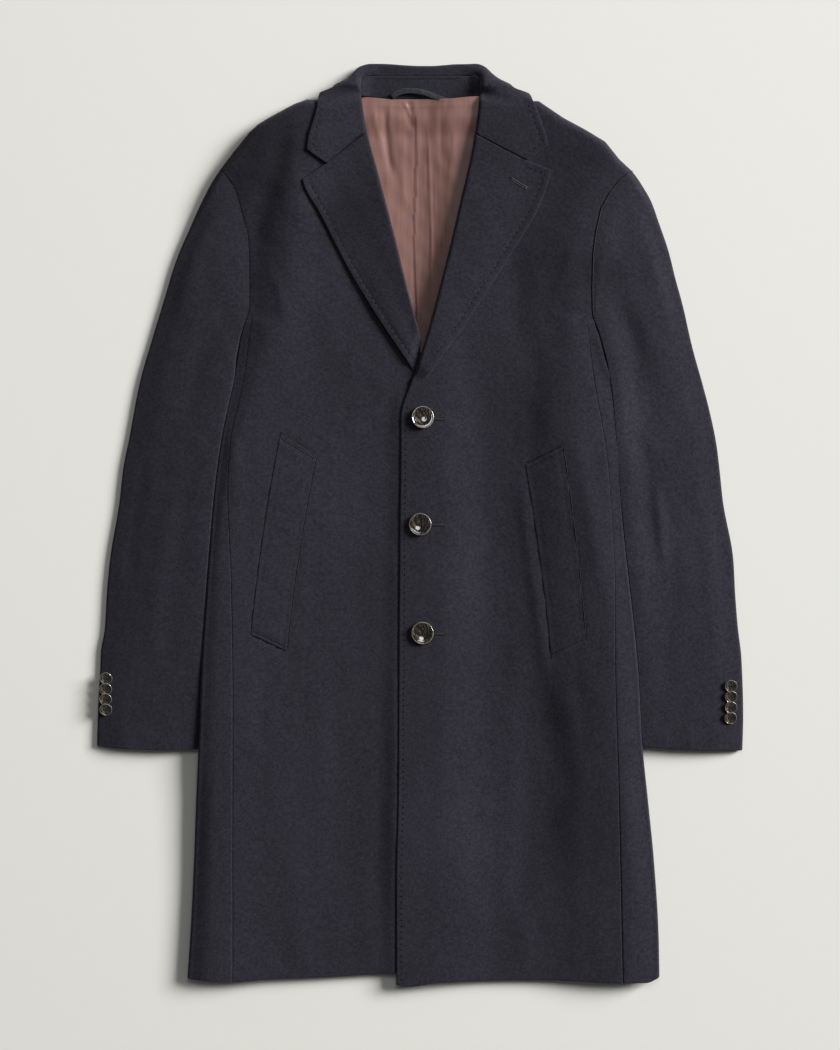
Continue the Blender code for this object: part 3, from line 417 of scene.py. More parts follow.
LEAF_BEND = (1.0, 0.62, 0.3, 0.1, 0.0)
UNDER_SEAM = [(-520, 60), (150, 60), (190, 42), (215, 24), (232, 12)]


# ---- the form of the coat
@dataclass(frozen=True)
class Fold:
    """A soft ridge or, with a negative height, a hollow that runs along a bent line."""

    path: tuple[Point, ...]
    height: float
    width: float
    fade: float = 0.25

    def rise(self, x: Array, y: Array) -> Array:
        """How much the fold lifts the cloth.

        Args:
            x: Plan x.
            y: Plan y.

        Returns:
            The lift at each point.
        """
        gap, where = segment_distance(x, y, self.path)
        ends = ease(where / self.fade) * ease((1 - where) / self.fade)
        tip = np.exp(-((gap / self.width) ** 2))
        return self.height * tip * np.maximum(ends, 0.0)


def with_folds(lift: Array, folds: Sequence[Fold], x: Array, y: Array) -> Array:
    """Adds the rise of several folds to a lift.

    Args:
        lift: The lift at each point so far.
        folds: The folds.
        x: Plan x.
        y: Plan y.

    Returns:
        The lift at each point.
    """
    for fold in folds:
        lift = lift + fold.rise(x, y)
    return lift


BODY_FOLDS = (
    Fold(((143, -200), (160, -255), (172, -320)), -1.4, 16),
    Fold(((120, -140), (128, -250), (120, -380), (112, -470)), -1.6, 17),
    Fold(((196, 222), (204, 195), (215, 160)), 1.6, 6),
    Fold(((-138, 472), (-158, 418), (-176, 355), (-189, 288)), -2.6, 14),
    Fold(((-122, 455), (-134, 400), (-150, 340)), 1.6, 20),
    Fold(((-145, 260), (-120, 190), (-100, 120)), -1.0, 18),
    Fold(((165, 330), (150, 260), (140, 190), (138, 120)), -1.2, 17),
    Fold(((40, 80), (52, 0), (46, -90), (50, -160)), 1.0, 22),
    Fold(((-60, 60), (-70, -40), (-66, -150)), -0.8, 20),
    Fold(((-150, -190), (-160, -290), (-150, -400), (-155, -480)), 1.3, 20),
    Fold(((-90, -200), (-84, -320), (-92, -460)), -1.1, 20),
    Fold(((60, -330), (52, -400), (58, -480)), 1.2, 24),
    Fold(((-222, 140), (-205, 60), (-212, -30)), 0.9, 9),
    Fold(((214, 120), (205, 40), (212, -60)), 0.9, 11),
)


@dataclass
class CoatForm:
    """The outlines and heights that every piece of the coat takes its place from."""

    cloth: float = 2.6
    front_cloth: float = 3.0
    lining: float = 1.0
    lapel: float = 3.4
    collar: float = 2.6
    gap: float = 0.3
    seam_gap: float = 0.03
    front_lap: float = 25.0
    lift_flat: float = 17.0
    lift_end: float = 54.0
    shoulder_mid: float = 8.6
    shoulder_round: float = 9.0
    neck_from: float = 436.0
    neck_half: float = 150.0
    neck_ease: float = 26.0
    tables: dict[str, Table] = field(default_factory=dict)

    def __post_init__(self) -> None:
        """Makes the smooth curves from the short tables."""
        outline = {side: FOLD_LINE[side] + ARM_LINE[side][1:] for side in Side}
        edge = {
            Side.RIGHT: [(-520, self.front_lap), (107, self.front_lap), (130, 22), (150, 12), (173, 4)]
            + [(y, x - self.lapel - 1.0) for y, x in ROLL_LINE[Side.RIGHT] if y > 180],
            Side.LEFT: [(y, x) for y, x in OVER_EDGE if y < 150]
            + [(153, -12), (160, -9.2), (165, -7.4), (169, -4.6), (174, -1.0)]
            + [(y, x + self.lapel + 1.0) for y, x in ROLL_LINE[Side.LEFT] if y > 200]}
        for name, pair in (("outline", outline), ("edge", edge), ("arm", ARM_LINE), ("seam", SEAM_LINE),
                           ("roll", ROLL_LINE), ("sleeve", SLEEVE_LINE), ("sleeve_z", SLEEVE_HEIGHTS),
                           ("hem", HEM_EDGE), ("cuff", CUFF_EDGE)):
            for side, rows in pair.items():
                self.tables[f"{name}_{side.value}"] = Table(rows)
        for name, rows in (("hem_back", BACK_HEM), ("heights", HEIGHTS), ("ridges", RIDGES), ("lift", LIFT),
                           ("tuck", TUCK), ("deep", UNDER_SEAM)):
            self.tables[name] = Table(rows)

    def read(self, name: str, side: Side, y: Array | float) -> Array:
        """x of one of the outlines of a side at y."""
        return self.tables[f"{name}_{side.value}"](y)

    def spot(self, name: str, side: Side, y: float, out: float = 0.0, up: float = 0.0) -> Array:
        """A plan point on one of the outlines of a side.

        Args:
            name: Which outline.
            side: Which side.
            y: Where it is read.
            out: How far the point is moved outward from the outline.
            up: How far it is moved along y.

        Returns:
            The point.
        """
        return np.array([float(self.read(name, side, y)) + side.value * out, y + up])

    def unevenness(self, x: Array, y: Array) -> Array:
        """The gentle waviness of soft cloth that has been smoothed by hand.

        Args:
            x: Plan x.
            y: Plan y.

        Returns:
            A small lift at each point.
        """
        first = np.sin(x / 31.0 + 1.3 * np.sin(y / 83.0)) * np.sin(y / 47.0 + 0.7)
        second = np.sin((x * 0.8 + y * 0.6) / 23.0 + 2.1) * np.sin((x * 0.5 - y * 0.9) / 61.0)
        third = np.sin((x - 0.35 * y) / 14.0) * np.sin((y + 0.4 * x) / 37.0 + 1.9)
        return 0.34 * first + 0.26 * second + 0.10 * third

    def top(self, x: Array, y: Array, under: bool = False) -> Array:
        """Height of the top of the coat.

        Args:
            x: Plan x.
            y: Plan y.
            under: Whether to give the front that lies beneath at the lap.

        Returns:
            The height at each point.
        """
        x, y = np.broadcast_arrays(np.asarray(x, float), np.asarray(y, float))
        shape = x.shape
        x, y = x.ravel(), y.ravel()
        z = self.tables["heights"].all(y)
        ridge = self.tables["ridges"].all(y)
        drop = self.front_cloth + 0.5
        lap = z[:, 4] - drop
        if under:
            fold = self.read("outline", Side.RIGHT, y)
            knots = [fold, fold * ridge[:, 0], fold * 0.58, x * 0 - 50, x * 0 - 25, x * 0 + 40]
            values = [z[:, 0], z[:, 1], z[:, 2], np.minimum(z[:, 3], lap), lap, z[:, 5] - drop]
        else:
            fold = self.read("outline", Side.LEFT, y)
            knots = [x * 0 - 40, x * 0 + 20, fold * 0.33, fold * 0.54, fold * 0.70, fold * ridge[:, 1], fold]
            values = [z[:, i] for i in range(4, 11)]
        result = through_rows(np.stack(knots, axis=1), np.stack(values, axis=1), x)
        return with_folds(result + self.unevenness(x, y), BODY_FOLDS, x, y).reshape(shape)

    def shoulder_distance(self, x: Array, y: Array) -> Array:
        """Distance from each point to the nearer shoulder line."""
        right, left = (segment_distance(x, y, line)[0] for line in SHOULDER_LINE.values())
        return np.minimum(right, left)

    def turned_down(self, high: Array, x: Array, y: Array) -> Array:
        """The height of a front where it turns down at the shoulder to meet the back.

        Args:
            high: Its height away from the shoulder.
            x: Plan x.
            y: Plan y.

        Returns:
            The height with the shoulder's roundness.
        """
        near = np.clip(self.shoulder_distance(x, y) / self.shoulder_round, 0, 1)
        mid = self.shoulder_mid + self.gap / 2
        return mid + (high - mid) * np.sqrt(np.clip(1 - (1 - near) ** 2, 0, 1))

    def front_top(self, side: Side, x: Array, y: Array) -> Array:
        """The height of a front, with the shoulder's roundness."""
        return self.turned_down(self.top(x, y, side is Side.RIGHT), x, y)

    def underside(self, x: Array, y: Array) -> Array:
        """Height of the coat's underside: level, lifted where a sleeve or the collar passes beneath.

        Args:
            x: Plan x.
            y: Plan y.

        Returns:
            The height at each point.
        """
        x, y = np.broadcast_arrays(np.asarray(x, float), np.asarray(y, float))
        inward = np.minimum(x - self.tables["outline_-1"](y), self.tables["outline_1"](y) - x)
        part = 1 - ease((inward - self.lift_flat) / (self.lift_end - self.lift_flat))
        side = self.tables["lift"](y) * part * (y < 236)
        at_neck = ease((y - self.neck_from) / self.neck_ease)
        neck = (self.collar + 2 * self.gap) * at_neck * ease((self.neck_half - np.abs(x)) / self.neck_ease)
        return side + neck

    def at_edge(self, y: Array | float, line: float, reach: float) -> Array:
        """How far a point follows an edge: wholly on its line, and not at all beyond its reach."""
        return np.clip(1 - (np.asarray(y, float) - line) / reach, 0, 1)

    def hem_shift(self, side: Side, x: Array, y: Array) -> Array:
        """How far a point near the hem moves along y, so that the hem follows its own line."""
        return (self.read("hem", side, x) - HEM_LINE) * self.at_edge(y, HEM_LINE, HEM_REACH)

    def back_shift(self, x: Array, y: Array) -> Array:
        """How far a point near the back's hem moves along y, a little inside the line of the fronts."""
        return (self.tables["hem_back"](x) - HEM_LINE) * self.at_edge(y, HEM_LINE, HEM_REACH)

    def cuff_rise(self, side: Side, x: Array, y: Array) -> Array:
        """How far a point near the cuff moves along y, so that the cuff follows its own line."""
        return self.read("cuff", side, x) * self.at_edge(y, CUFF_LINE, CUFF_REACH)

    def neck_y(self, x: Array | float) -> Array:
        """y of the neck seam, where the stand is sewn to the back."""
        return 480.4 + 2.8 * ease((np.abs(x) - 26) / 42)


# ---- meshes
def surface_normals(grid: Array) -> Array:
    """Unit normals of a grid of points, across its columns and down its rows."""
    return unit(np.cross(np.gradient(grid, axis=1), np.gradient(grid, axis=0)))


def make_mesh(name: str, points: Array, faces: list[tuple[int, ...]], finish: Material,
              origin: Array | None = None) -> Piece:
    """Makes a smooth-shaded object.

    Args:
        name: Name of the piece.
        points: Its points in millimetres, from its own origin where that is given.
        faces: Its faces.
        finish: Its material.
        origin: Where the object's own origin goes, in millimetres.

    Returns:
        The object, in the scene.
    """
    shift = MIDDLE if origin is None else np.zeros(3)
    mesh = bpy.data.meshes.new(name)
    placed = (np.asarray(points, float) - shift) * MM
    mesh.from_pydata(placed.tolist(), [], faces)
    mesh.update()
    mesh.polygons.foreach_set("use_smooth", [True] * len(mesh.polygons))
    mesh.materials.append(finish)
    made = bpy.data.objects.new(name, mesh)
    if origin is not None:
        made.location = ((np.asarray(origin, float) - MIDDLE) * MM).tolist()
    bpy.context.scene.collection.objects.link(made)
    return made


@dataclass
class ClothShell:
    """A piece of cloth with real thickness and rounded edges, from a grid of points on its outer face.

    `name` is the name of the solid that it stands for.

    `bulge` says how far each edge swells outward: first row, last row, first column, last column. A free
    edge swells by half the thickness, and a seam by less, so that two pieces meet in a shallow groove.
    """

    name: str
    grid: Array
    thick: float
    bulge: tuple[float, float, float, float]
    flip: bool = False
    level_end: bool = False
    turns: int = 5

    def pulled_in(self) -> Array:
        """The grid with its edges drawn in by the width of their swelling.

        Returns:
            The new grid.
        """
        grid = self.grid.copy()
        for lines, (first, last) in ((grid, self.bulge[:2]), (grid.swapaxes(0, 1), self.bulge[2:])):
            for edge, inner, amount in ((0, 1, first), (-1, -2, last)):
                way = lines[inner] - lines[edge]
                length = np.linalg.norm(way, axis=1, keepdims=True)
                lines[edge] += way / np.maximum(length, TINY) * np.minimum(amount, length * 0.8)
        return grid

    def rim(self, rows: int, columns: int) -> tuple[Array, Array, Array]:
        """The points round the border of the grid.

        Args:
            rows: How many rows the grid has.
            columns: How many columns it has.

        Returns:
            Their rows, their columns, and how far each swells down the columns and across the rows.
        """
        ring = [(0, c) for c in range(columns)] + [(r, columns - 1) for r in range(1, rows)]
        ring += [(rows - 1, c) for c in range(columns - 2, -1, -1)] + [(r, 0) for r in range(rows - 2, 0, -1)]
        ring_array = np.array(ring)
        swell = np.zeros((len(ring), 2))
        r, c = ring_array[:, 0], ring_array[:, 1]
        swell[r == 0, 0] = -self.bulge[0]
        swell[r == rows - 1, 0] = self.bulge[1]
        swell[c == 0, 1] = -self.bulge[2]
        swell[c == columns - 1, 1] = self.bulge[3]
        return r, c, swell

    def build(self, finish: Material, slot: Slot = Slot.WOOL) -> Piece:
        """Makes the closed mesh and puts it in the place of its solid.

        Args:
            finish: The material of the cloth.
            slot: The record's finish it takes.

        Returns:
            The piece.
        """
        grid = self.pulled_in()
        rows, columns = grid.shape[:2]
        normal = surface_normals(grid) * (-1 if self.flip else 1)
        if self.level_end:
            steep = np.abs(normal[-1, :, 2]) < 0.85
            normal[-1, steep, 2] = 0
            normal[-1] = unit(normal[-1])
        inner = grid - normal * self.thick
        down, across = (unit(np.gradient(grid, axis=axis)) for axis in (0, 1))
        r, c, swell = self.rim(rows, columns)
        outward = down[r, c] * swell[:, :1] + across[r, c] * swell[:, 1:]
        loops = []
        for turn in range(1, self.turns):
            angle = math.pi * turn / self.turns
            lower = normal[r, c] * (self.thick / 2 * (math.cos(angle) - 1))
            loops.append(grid[r, c] + lower + outward * math.sin(angle))
        points = np.concatenate([grid.reshape(-1, 3), inner.reshape(-1, 3), *loops])
        points[:, 2] = np.maximum(points[:, 2], 0.02)
        half, ring = rows * columns, r * columns + c
        corner = (np.arange(rows - 1)[:, None] * columns + np.arange(columns - 1)).ravel()
        quads = np.stack([corner, corner + 1, corner + 1 + columns, corner + columns], axis=1)
        faces = [quads, quads[:, ::-1] + half]
        levels = [ring] + [2 * half + k * len(ring) + np.arange(len(ring)) for k in range(len(loops))]
        levels.append(ring + half)
        for upper, lower in zip(levels, levels[1:]):
            faces.append(np.stack([upper, lower, np.roll(lower, -1), np.roll(upper, -1)], axis=1))
        every = np.concatenate(faces)
        if self.flip:
            every = every[:, ::-1]
        return dress(make_mesh(self.name + "_cloth", points, every.tolist(), finish), slot, self.name)


def dress(piece: Piece, slot: Slot, *nodes: str) -> Piece:
    """Ties a piece to the coat.

    Args:
        piece: The piece.
        slot: The record's finish it takes.
        nodes: The solids that it stands for.

    Returns:
        The same piece.
    """
    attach(piece, ROOT)
    if nodes:
        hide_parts(*nodes)
    log.info("%s: %d faces", piece.name, len(piece.data.polygons))
    return piece


# ---- finishes
class NodeSketch:
    """A short way to add and join shader nodes in one tree."""

    def __init__(self, tree: bpy.types.NodeTree) -> None:
        """Takes the tree that the nodes go into."""
        self.tree = tree

    def feed(self, socket: Socket, value: object) -> None:
        """Joins another node's socket to an input, or sets the input to a plain value.

        Args:
            socket: The input.
            value: The other node's socket, or the plain value.
        """
        if isinstance(value, Socket):
            self.tree.links.new(value, socket)
        else:
            socket.default_value = value

    def add(self, kind: str, settings: dict[str, object] | None = None, **inputs: object) -> bpy.types.Node:
        """Adds a node.

        Args:
            kind: Its Blender type, without the words ShaderNode before it.
            settings: Its properties.
            inputs: Its sockets by name, with underscores for spaces: a value, or a socket to join.

        Returns:
            The node.
        """
        node = self.tree.nodes.new("ShaderNode" + kind)
        for key, value in (settings or {}).items():
            setattr(node, key, value)
        for key, value in inputs.items():
            name = key.replace("_", " ")
            self.feed(next(s for s in node.inputs if s.name == name and s.enabled), value)
        return node

    def math(self, operation: str, a: object, b: object) -> Socket:
        """A Math node's result.

        Args:
            operation: What the node does.
            a: Its first value, or a socket.
            b: Its second value, or a socket.

        Returns:
            The socket with the result.
        """
        node = self.add("Math", {"operation": operation})
        self.feed(node.inputs[0], a)
        self.feed(node.inputs[1], b)
        return node.outputs[0]

    def times(self, a: object, b: object) -> Socket:
        """One value multiplied by another."""
        return self.math("MULTIPLY", a, b)

    def plus(self, a: object, b: object) -> Socket:
        """One value added to another."""
        return self.math("ADD", a, b)

    def vector(self, operation: str, *values: object) -> bpy.types.Node:
        """A Vector Math node, fed from its first input on.

        Args:
            operation: What the node does.
            values: Its values or sockets, in order.

        Returns:
            The node.
        """
        node = self.add("VectorMath", {"operation": operation})
        for socket, value in zip(node.inputs, values):
            self.feed(socket, value)
        return node

    def blend(self, share: object, a: object, b: object) -> Socket:
        """A colour between two others, each a socket or red, green and blue.

        Args:
            share: How far it goes from the first to the second, nought to one, or a socket.
            a: The first colour.
            b: The second colour.

        Returns:
            The socket with the colour.
        """
        node = self.add("Mix", {"data_type": "RGBA"})
        for index, value in ((0, share), (6, a), (7, b)):
            self.feed(node.inputs[index], (*value, 1) if isinstance(value, tuple) else value)
        return node.outputs[2]

    def noise(self, vector: Socket, scale: object, detail: float = 2.0, roughness: float = 0.5) -> Socket:
        """A noise texture's value."""
        return self.add("TexNoise", {"noise_dimensions": "3D"}, Vector=vector, Scale=scale, Detail=detail,
                        Roughness=roughness).outputs["Fac"]

    def spread(self, value: Socket, low: float, high: float) -> Socket:
        """Stretches a value so that low becomes nought and high becomes one."""
        return self.add("MapRange", {}, Value=value, From_Min=low, From_Max=high).outputs["Result"]


class FinishSketch(NodeSketch):
    """A new material, with its shader and the place on the coat that its pattern goes by."""

    def __init__(self, name: str) -> None:
        """Starts the material.

        Args:
            name: Its name.
        """
        self.material = bpy.data.materials.new(name)
        self.material.use_nodes = True
        super().__init__(self.material.node_tree)
        self.place = self.add("TexCoord").outputs["Object"]

    def relief(self, strength: float, height: Socket) -> Socket:
        """The normal of a fine relief whose height is in metres."""
        return self.add("Bump", {}, Strength=strength, Distance=1.0, Height=height).outputs["Normal"]

    def done(self, **inputs: object) -> Material:
        """Feeds the shader.

        Args:
            inputs: The shader's sockets by name, with underscores for spaces.

        Returns:
            The finished material.
        """
        shader = self.tree.nodes["Principled BSDF"]
        for key, value in inputs.items():
            self.feed(shader.inputs[key.replace("_", " ")], value)
        return self.material


def new_group(name: str, inputs: Sequence[tuple[str, str, object]], outputs: Sequence[tuple[str, str]]
              ) -> tuple[NodeSketch, bpy.types.Node, bpy.types.Node]:
    """Starts a shader node group.

    Args:
        name: Its name.
        inputs: Name, socket type and default of each input.
        outputs: Name and socket type of each output.

    Returns:
        A sketch of its tree, its input node and its output node.
    """
    tree = bpy.data.node_groups.new(name, "ShaderNodeTree")
    for label, kind, default in inputs:
        socket = tree.interface.new_socket(name=label, in_out="INPUT", socket_type=kind)
        if default is not None:
            socket.default_value = default
    for label, kind in outputs:
        tree.interface.new_socket(name=label, in_out="OUTPUT", socket_type=kind)
    return NodeSketch(tree), tree.nodes.new("NodeGroupInput"), tree.nodes.new("NodeGroupOutput")


def felted_surface_group() -> bpy.types.NodeTree:
    """The look of fulled cloth: a short nap, faint mottling and soft dents. Used by the wool and the tape.

    Returns:
        The group: it gives a mask of lighter fibres, a mask of mottling and a height in metres.
    """
    sketch, start, end = new_group(
        "felted_surface",
        [("Position", "NodeSocketVector", None), ("Nap Scale", "NodeSocketFloat", 900.0),
         ("Nap Depth", "NodeSocketFloat", 0.00012), ("Dent Depth", "NodeSocketFloat", 0.0003)],
        [("Fibres", "NodeSocketFloat"), ("Mottle", "NodeSocketFloat"), ("Height", "NodeSocketFloat")])
    place, scale = start.outputs["Position"], start.outputs["Nap Scale"]
    nap = sketch.noise(place, scale, 3.0, 0.65)
    coarse = sketch.noise(place, sketch.times(scale, 0.34))
    mottle = sketch.noise(place, 42.0, 3.0)
    dents = sketch.noise(place, 70.0)
    fibres = sketch.plus(sketch.times(nap, 0.6), sketch.times(coarse, 0.4))
    height = sketch.plus(sketch.times(fibres, start.outputs["Nap Depth"]),
                         sketch.times(dents, start.outputs["Dent Depth"]))
    for label, value in (("Fibres", fibres), ("Mottle", mottle), ("Height", height)):
        sketch.feed(end.inputs[label], value)
    return sketch.tree


# Painted light and shade: patches where the cloth's colour is made darker or paler to stand in for the
# shading of its folds, shoulders and armholes. Each is x and y in millimetres, reach, and how much.
PAINTED_LIGHT_AND_SHADE = (
    (-164, 425, 85, -0.36), (-78, 348, 60, -0.30), (78, 425, 55, -0.14), (-40, 505, 70, -0.14),
    (160, 400, 80, -0.14), (-70, 40, 120, 0.10), (60, -60, 90, 0.10), (50, -340, 130, 0.13),
    (236, 120, 80, 0.22), (285, -30, 80, 0.14), (-120, 250, 70, 0.08), (146, 290, 80, -0.15),
    (140, 130, 75, -0.10), (152, 0, 75, -0.10), (160, -210, 80, -0.12), (175, -340, 90, -0.12),
    (206, 285, 45, -0.28), (-195, 215, 35, -0.22),
)


@dataclass(frozen=True)
class WoolFinish:
    """Brushed navy melton: matt, with a short pale nap, and painted light and shade in patches."""

    dark: Spot = (0.0168, 0.0159, 0.0222)
    light: Spot = (0.0410, 0.0391, 0.0506)
    fleck: Spot = (0.080, 0.077, 0.092)
    roughness: float = 0.93
    sheen: float = 0.16
    nap_scale: float = 820.0
    nap_depth: float = 0.00042
    dent_depth: float = 0.00035

    def make(self, felt: bpy.types.NodeTree, name: str = "wool_melton") -> Material:
        """Makes the material.

        Args:
            felt: The felted surface group.
            name: Name of the material.

        Returns:
            The material.
        """
        sketch = FinishSketch(name)
        surface = sketch.add("Group", {"node_tree": felt}, Position=sketch.place, Nap_Scale=self.nap_scale,
                             Nap_Depth=self.nap_depth, Dent_Depth=self.dent_depth).outputs
        fibre = sketch.spread(surface["Fibres"], 0.39, 0.63)
        tone = sketch.blend(fibre, self.dark, self.light)
        worn = sketch.spread(surface["Mottle"], 0.30, 0.75)
        tone = sketch.blend(sketch.times(worn, 0.22), tone, self.light)
        fleck = sketch.spread(sketch.noise(sketch.place, self.nap_scale * 1.9, 1.0), 0.66, 0.80)
        tone = sketch.blend(sketch.times(fleck, 0.35), tone, self.fleck)
        # Painted light and shade: the colour is scaled darker or paler in patches.
        shaded_tone = sketch.vector("SCALE", tone)
        sketch.feed(shaded_tone.inputs["Scale"], self.painted_light_and_shade(sketch))
        return sketch.done(
            Base_Color=shaded_tone.outputs[0], Normal=sketch.relief(0.75, surface["Height"]),
            Roughness=sketch.plus(sketch.times(fibre, 0.05), self.roughness - 0.03),
            Sheen_Weight=self.sheen, Sheen_Roughness=0.55, Sheen_Tint=(0.72, 0.70, 0.84, 1),
            Specular_IOR_Level=0.18)

    def painted_light_and_shade(self, sketch: FinishSketch) -> Socket:
        """Painted light and shade: how much darker or paler the cloth's colour is made in each patch.

        Args:
            sketch: The material's nodes.

        Returns:
            A value round one.
        """
        total = 1.0
        for x, y, reach, amount in PAINTED_LIGHT_AND_SHADE:
            gap = sketch.vector("DISTANCE", sketch.place, (x * MM, y * MM, 0.015)).outputs["Value"]
            soft = sketch.add("MapRange", {"interpolation_type": "SMOOTHERSTEP"}, Value=gap,
                              From_Min=reach * MM, From_Max=0.0).outputs["Result"]
            total = sketch.plus(sketch.times(soft, amount), total)
        return total


@dataclass(frozen=True)
class SatinFinish:
    """Rose-brown satin lining: fine twill lines and a soft shine."""

    dark: Spot = (0.165, 0.082, 0.070)
    light: Spot = (0.330, 0.185, 0.160)
    roughness: float = 0.40

    def make(self) -> Material:
        """Makes the material.

        Returns:
            The material.
        """
        sketch = FinishSketch("lining_satin")
        turned = sketch.add("Mapping", {}, Vector=sketch.place, Rotation=(0, 0, math.radians(28)))
        twill = sketch.add("TexWave", {"wave_type": "BANDS", "bands_direction": "X"},
                           Vector=turned.outputs["Vector"], Scale=420.0, Distortion=0.6,
                           Detail=1.0).outputs["Fac"]
        long = sketch.add("Mapping", {}, Vector=sketch.place, Scale=(1.0, 0.12, 1.0)).outputs["Vector"]
        cloud = sketch.spread(sketch.noise(long, 90.0, 3.0), 0.2, 0.8)
        share = sketch.plus(sketch.times(cloud, 0.6), sketch.times(twill, 0.3))
        height = sketch.plus(sketch.times(twill, 0.00003), sketch.times(sketch.noise(long, 160.0), 0.0006))
        return sketch.done(
            Base_Color=sketch.blend(share, self.dark, self.light), Normal=sketch.relief(0.6, height),
            Roughness=sketch.plus(sketch.times(cloud, 0.08), self.roughness),
            Sheen_Weight=0.25, Sheen_Roughness=0.4, Sheen_Tint=(0.95, 0.72, 0.66, 1))


@dataclass(frozen=True)
class HornFinish:
    """Polished dark horn, veined, with a painted highlight that pales it toward the rim of the button."""

    radius: float
    dark: Spot = (0.010, 0.0082, 0.0068)
    vein: Spot = (0.085, 0.068, 0.048)
    # Colour of the painted highlight along the raised rim.
    rim: Spot = (0.30, 0.275, 0.225)

    def make(self, name: str) -> Material:
        """Makes the material.

        Args:
            name: Name of the material.

        Returns:
            The material, for a button whose own origin is in its middle.
        """
        sketch = FinishSketch(name)
        flat = sketch.vector("MULTIPLY", sketch.place, (1, 1, 0)).outputs[0]
        out = sketch.math("DIVIDE", sketch.vector("LENGTH", flat).outputs["Value"], self.radius * MM)
        stretched = sketch.add("Mapping", {}, Vector=sketch.place, Scale=(1.0, 0.28, 1.0),
                               Rotation=(0, 0, 0.6)).outputs["Vector"]
        veins = sketch.spread(sketch.noise(stretched, 560.0, 6.0), 0.50, 0.62)
        tone = sketch.blend(veins, self.dark, self.vein)
        # Painted highlight: the colour pales toward the rim.
        edge = sketch.spread(sketch.plus(out, sketch.times(veins, 0.02)), 0.88, 0.93)
        wear = sketch.noise(sketch.place, 900.0, 3.0)
        return sketch.done(
            Base_Color=sketch.blend(sketch.times(edge, 0.55), tone, self.rim),
            Roughness=sketch.plus(sketch.times(wear, 0.12), 0.07),
            Normal=sketch.relief(0.3, sketch.times(wear, 0.00012)),
            Specular_IOR_Level=0.8, Coat_Weight=1.0, Coat_IOR=1.75, Coat_Roughness=0.02)


@dataclass(frozen=True)
class ThreadFinish:
    """Twisted sewing thread."""

    color: Spot = (0.006, 0.006, 0.009)
    twist: float = 2600.0

    def make(self, name: str) -> Material:
        """Makes the material, with the thread's twist as fine slanting lines.

        Args:
            name: Its name.

        Returns:
            The material.
        """
        sketch = FinishSketch(name)
        lines = sketch.add("TexWave", {"bands_direction": "DIAGONAL"}, Vector=sketch.place,
                           Scale=self.twist).outputs["Fac"]
        pale = tuple(min(1.0, channel * 2.4) for channel in self.color)
        return sketch.done(Base_Color=sketch.blend(lines, self.color, pale), Roughness=0.62,
                           Normal=sketch.relief(0.5, sketch.times(lines, 0.0001)))


@dataclass(frozen=True)
class FloorFinish:
    """A plain pale floor."""

    color: Spot = (0.745, 0.735, 0.693)

    def make(self) -> Material:
        """Makes the material, with the faintest tooth.

        Returns:
            The material.
        """
        sketch = FinishSketch("floor_paper")
        grain = sketch.noise(sketch.place, 60.0)
        near = tuple(channel * 0.985 for channel in self.color)
        return sketch.done(Base_Color=sketch.blend(grain, near, self.color), Roughness=0.95,
                           Specular_IOR_Level=0.1)


@dataclass
class Finishes:
    """Every material of the coat, made once."""

    wool: Material
    satin: Material
    tape: Material
    front_horn: Material
    cuff_horn: Material
    navy_thread: Material
    button_thread: Material
    # Painted shade, for black lines and plugs.
    painted_shade_finish: Material
    slate_thread: Material
    cord_thread: Material


def make_finishes() -> Finishes:
    """Makes the coat's materials.

    Returns:
        All of them, by the use of each.
    """
    felt = felted_surface_group()
    cuff_horn = HornFinish(CUFF_ACROSS / 2, dark=(0.028, 0.023, 0.018), vein=(0.17, 0.14, 0.10))
    return Finishes(
        wool=WoolFinish().make(felt),
        satin=SatinFinish().make(),
        tape=WoolFinish(dark=(0.026, 0.027, 0.030), light=(0.068, 0.071, 0.076)).make(felt, "wool_tape"),
        front_horn=HornFinish(FRONT_ACROSS / 2, vein=(0.150, 0.114, 0.076)).make("horn_front"),
        cuff_horn=cuff_horn.make("horn_cuff"),
        navy_thread=ThreadFinish().make("thread_navy"),
        button_thread=ThreadFinish((0.016, 0.014, 0.012)).make("thread_button"),
        # Black tubes of painted shade: the button holes, the armhole and welt seam lines and the buttonhole
        # lines.
        painted_shade_finish=ThreadFinish((0.004, 0.004, 0.005)).make("painted_shade_black"),
        slate_thread=ThreadFinish((0.040, 0.038, 0.052)).make("thread_slate"),
        cord_thread=ThreadFinish((0.020, 0.019, 0.026)).make("thread_cord"))


# ---- the body
@dataclass
class DressedForm(CoatForm):
    """The coat's form with the small dents, puckers and creases that the cloth shows on its outer face."""

    pucker: float = 0.22
    lapel: float = 2.8
    folds: tuple[Fold, ...] = ()

    def wrinkles(self, x: Array, y: Array) -> Array:
        """Small height changes of the fronts, over and above the broad folds.

        Args:
            x: Plan x.
            y: Plan y.

        Returns:
            A lift at each point, in millimetres.
        """
        lift = 0.16 * np.sin(x / 7.3 + 1.1 * np.sin(y / 19.0)) * np.sin(y / 11.0 + x / 37.0)
        lift = lift + 0.12 * np.sin((x + 0.6 * y) / 5.6) * np.sin((y - 0.5 * x) / 8.8 + 0.9)
        return with_folds(lift, self.folds, x, y)

    def seam_ease(self, gap: Array, run: Array, wide: float = 7.0) -> Array:
        """The puckers beside a seam: short ripples that run across it and fade away from it.

        Args:
            gap: Distance from the seam.
            run: Distance along the seam.
            wide: How far the ripples reach.

        Returns:
            A lift at each point, in millimetres.
        """
        ripple = np.sin(run / 3.1 + 1.4 * np.sin(run / 11.0)) + 0.6 * np.sin(run / 6.7 + 0.5)
        return self.pucker * ripple * np.exp(-gap / wide) - 0.5 * np.exp(-((gap / 1.6) ** 2))


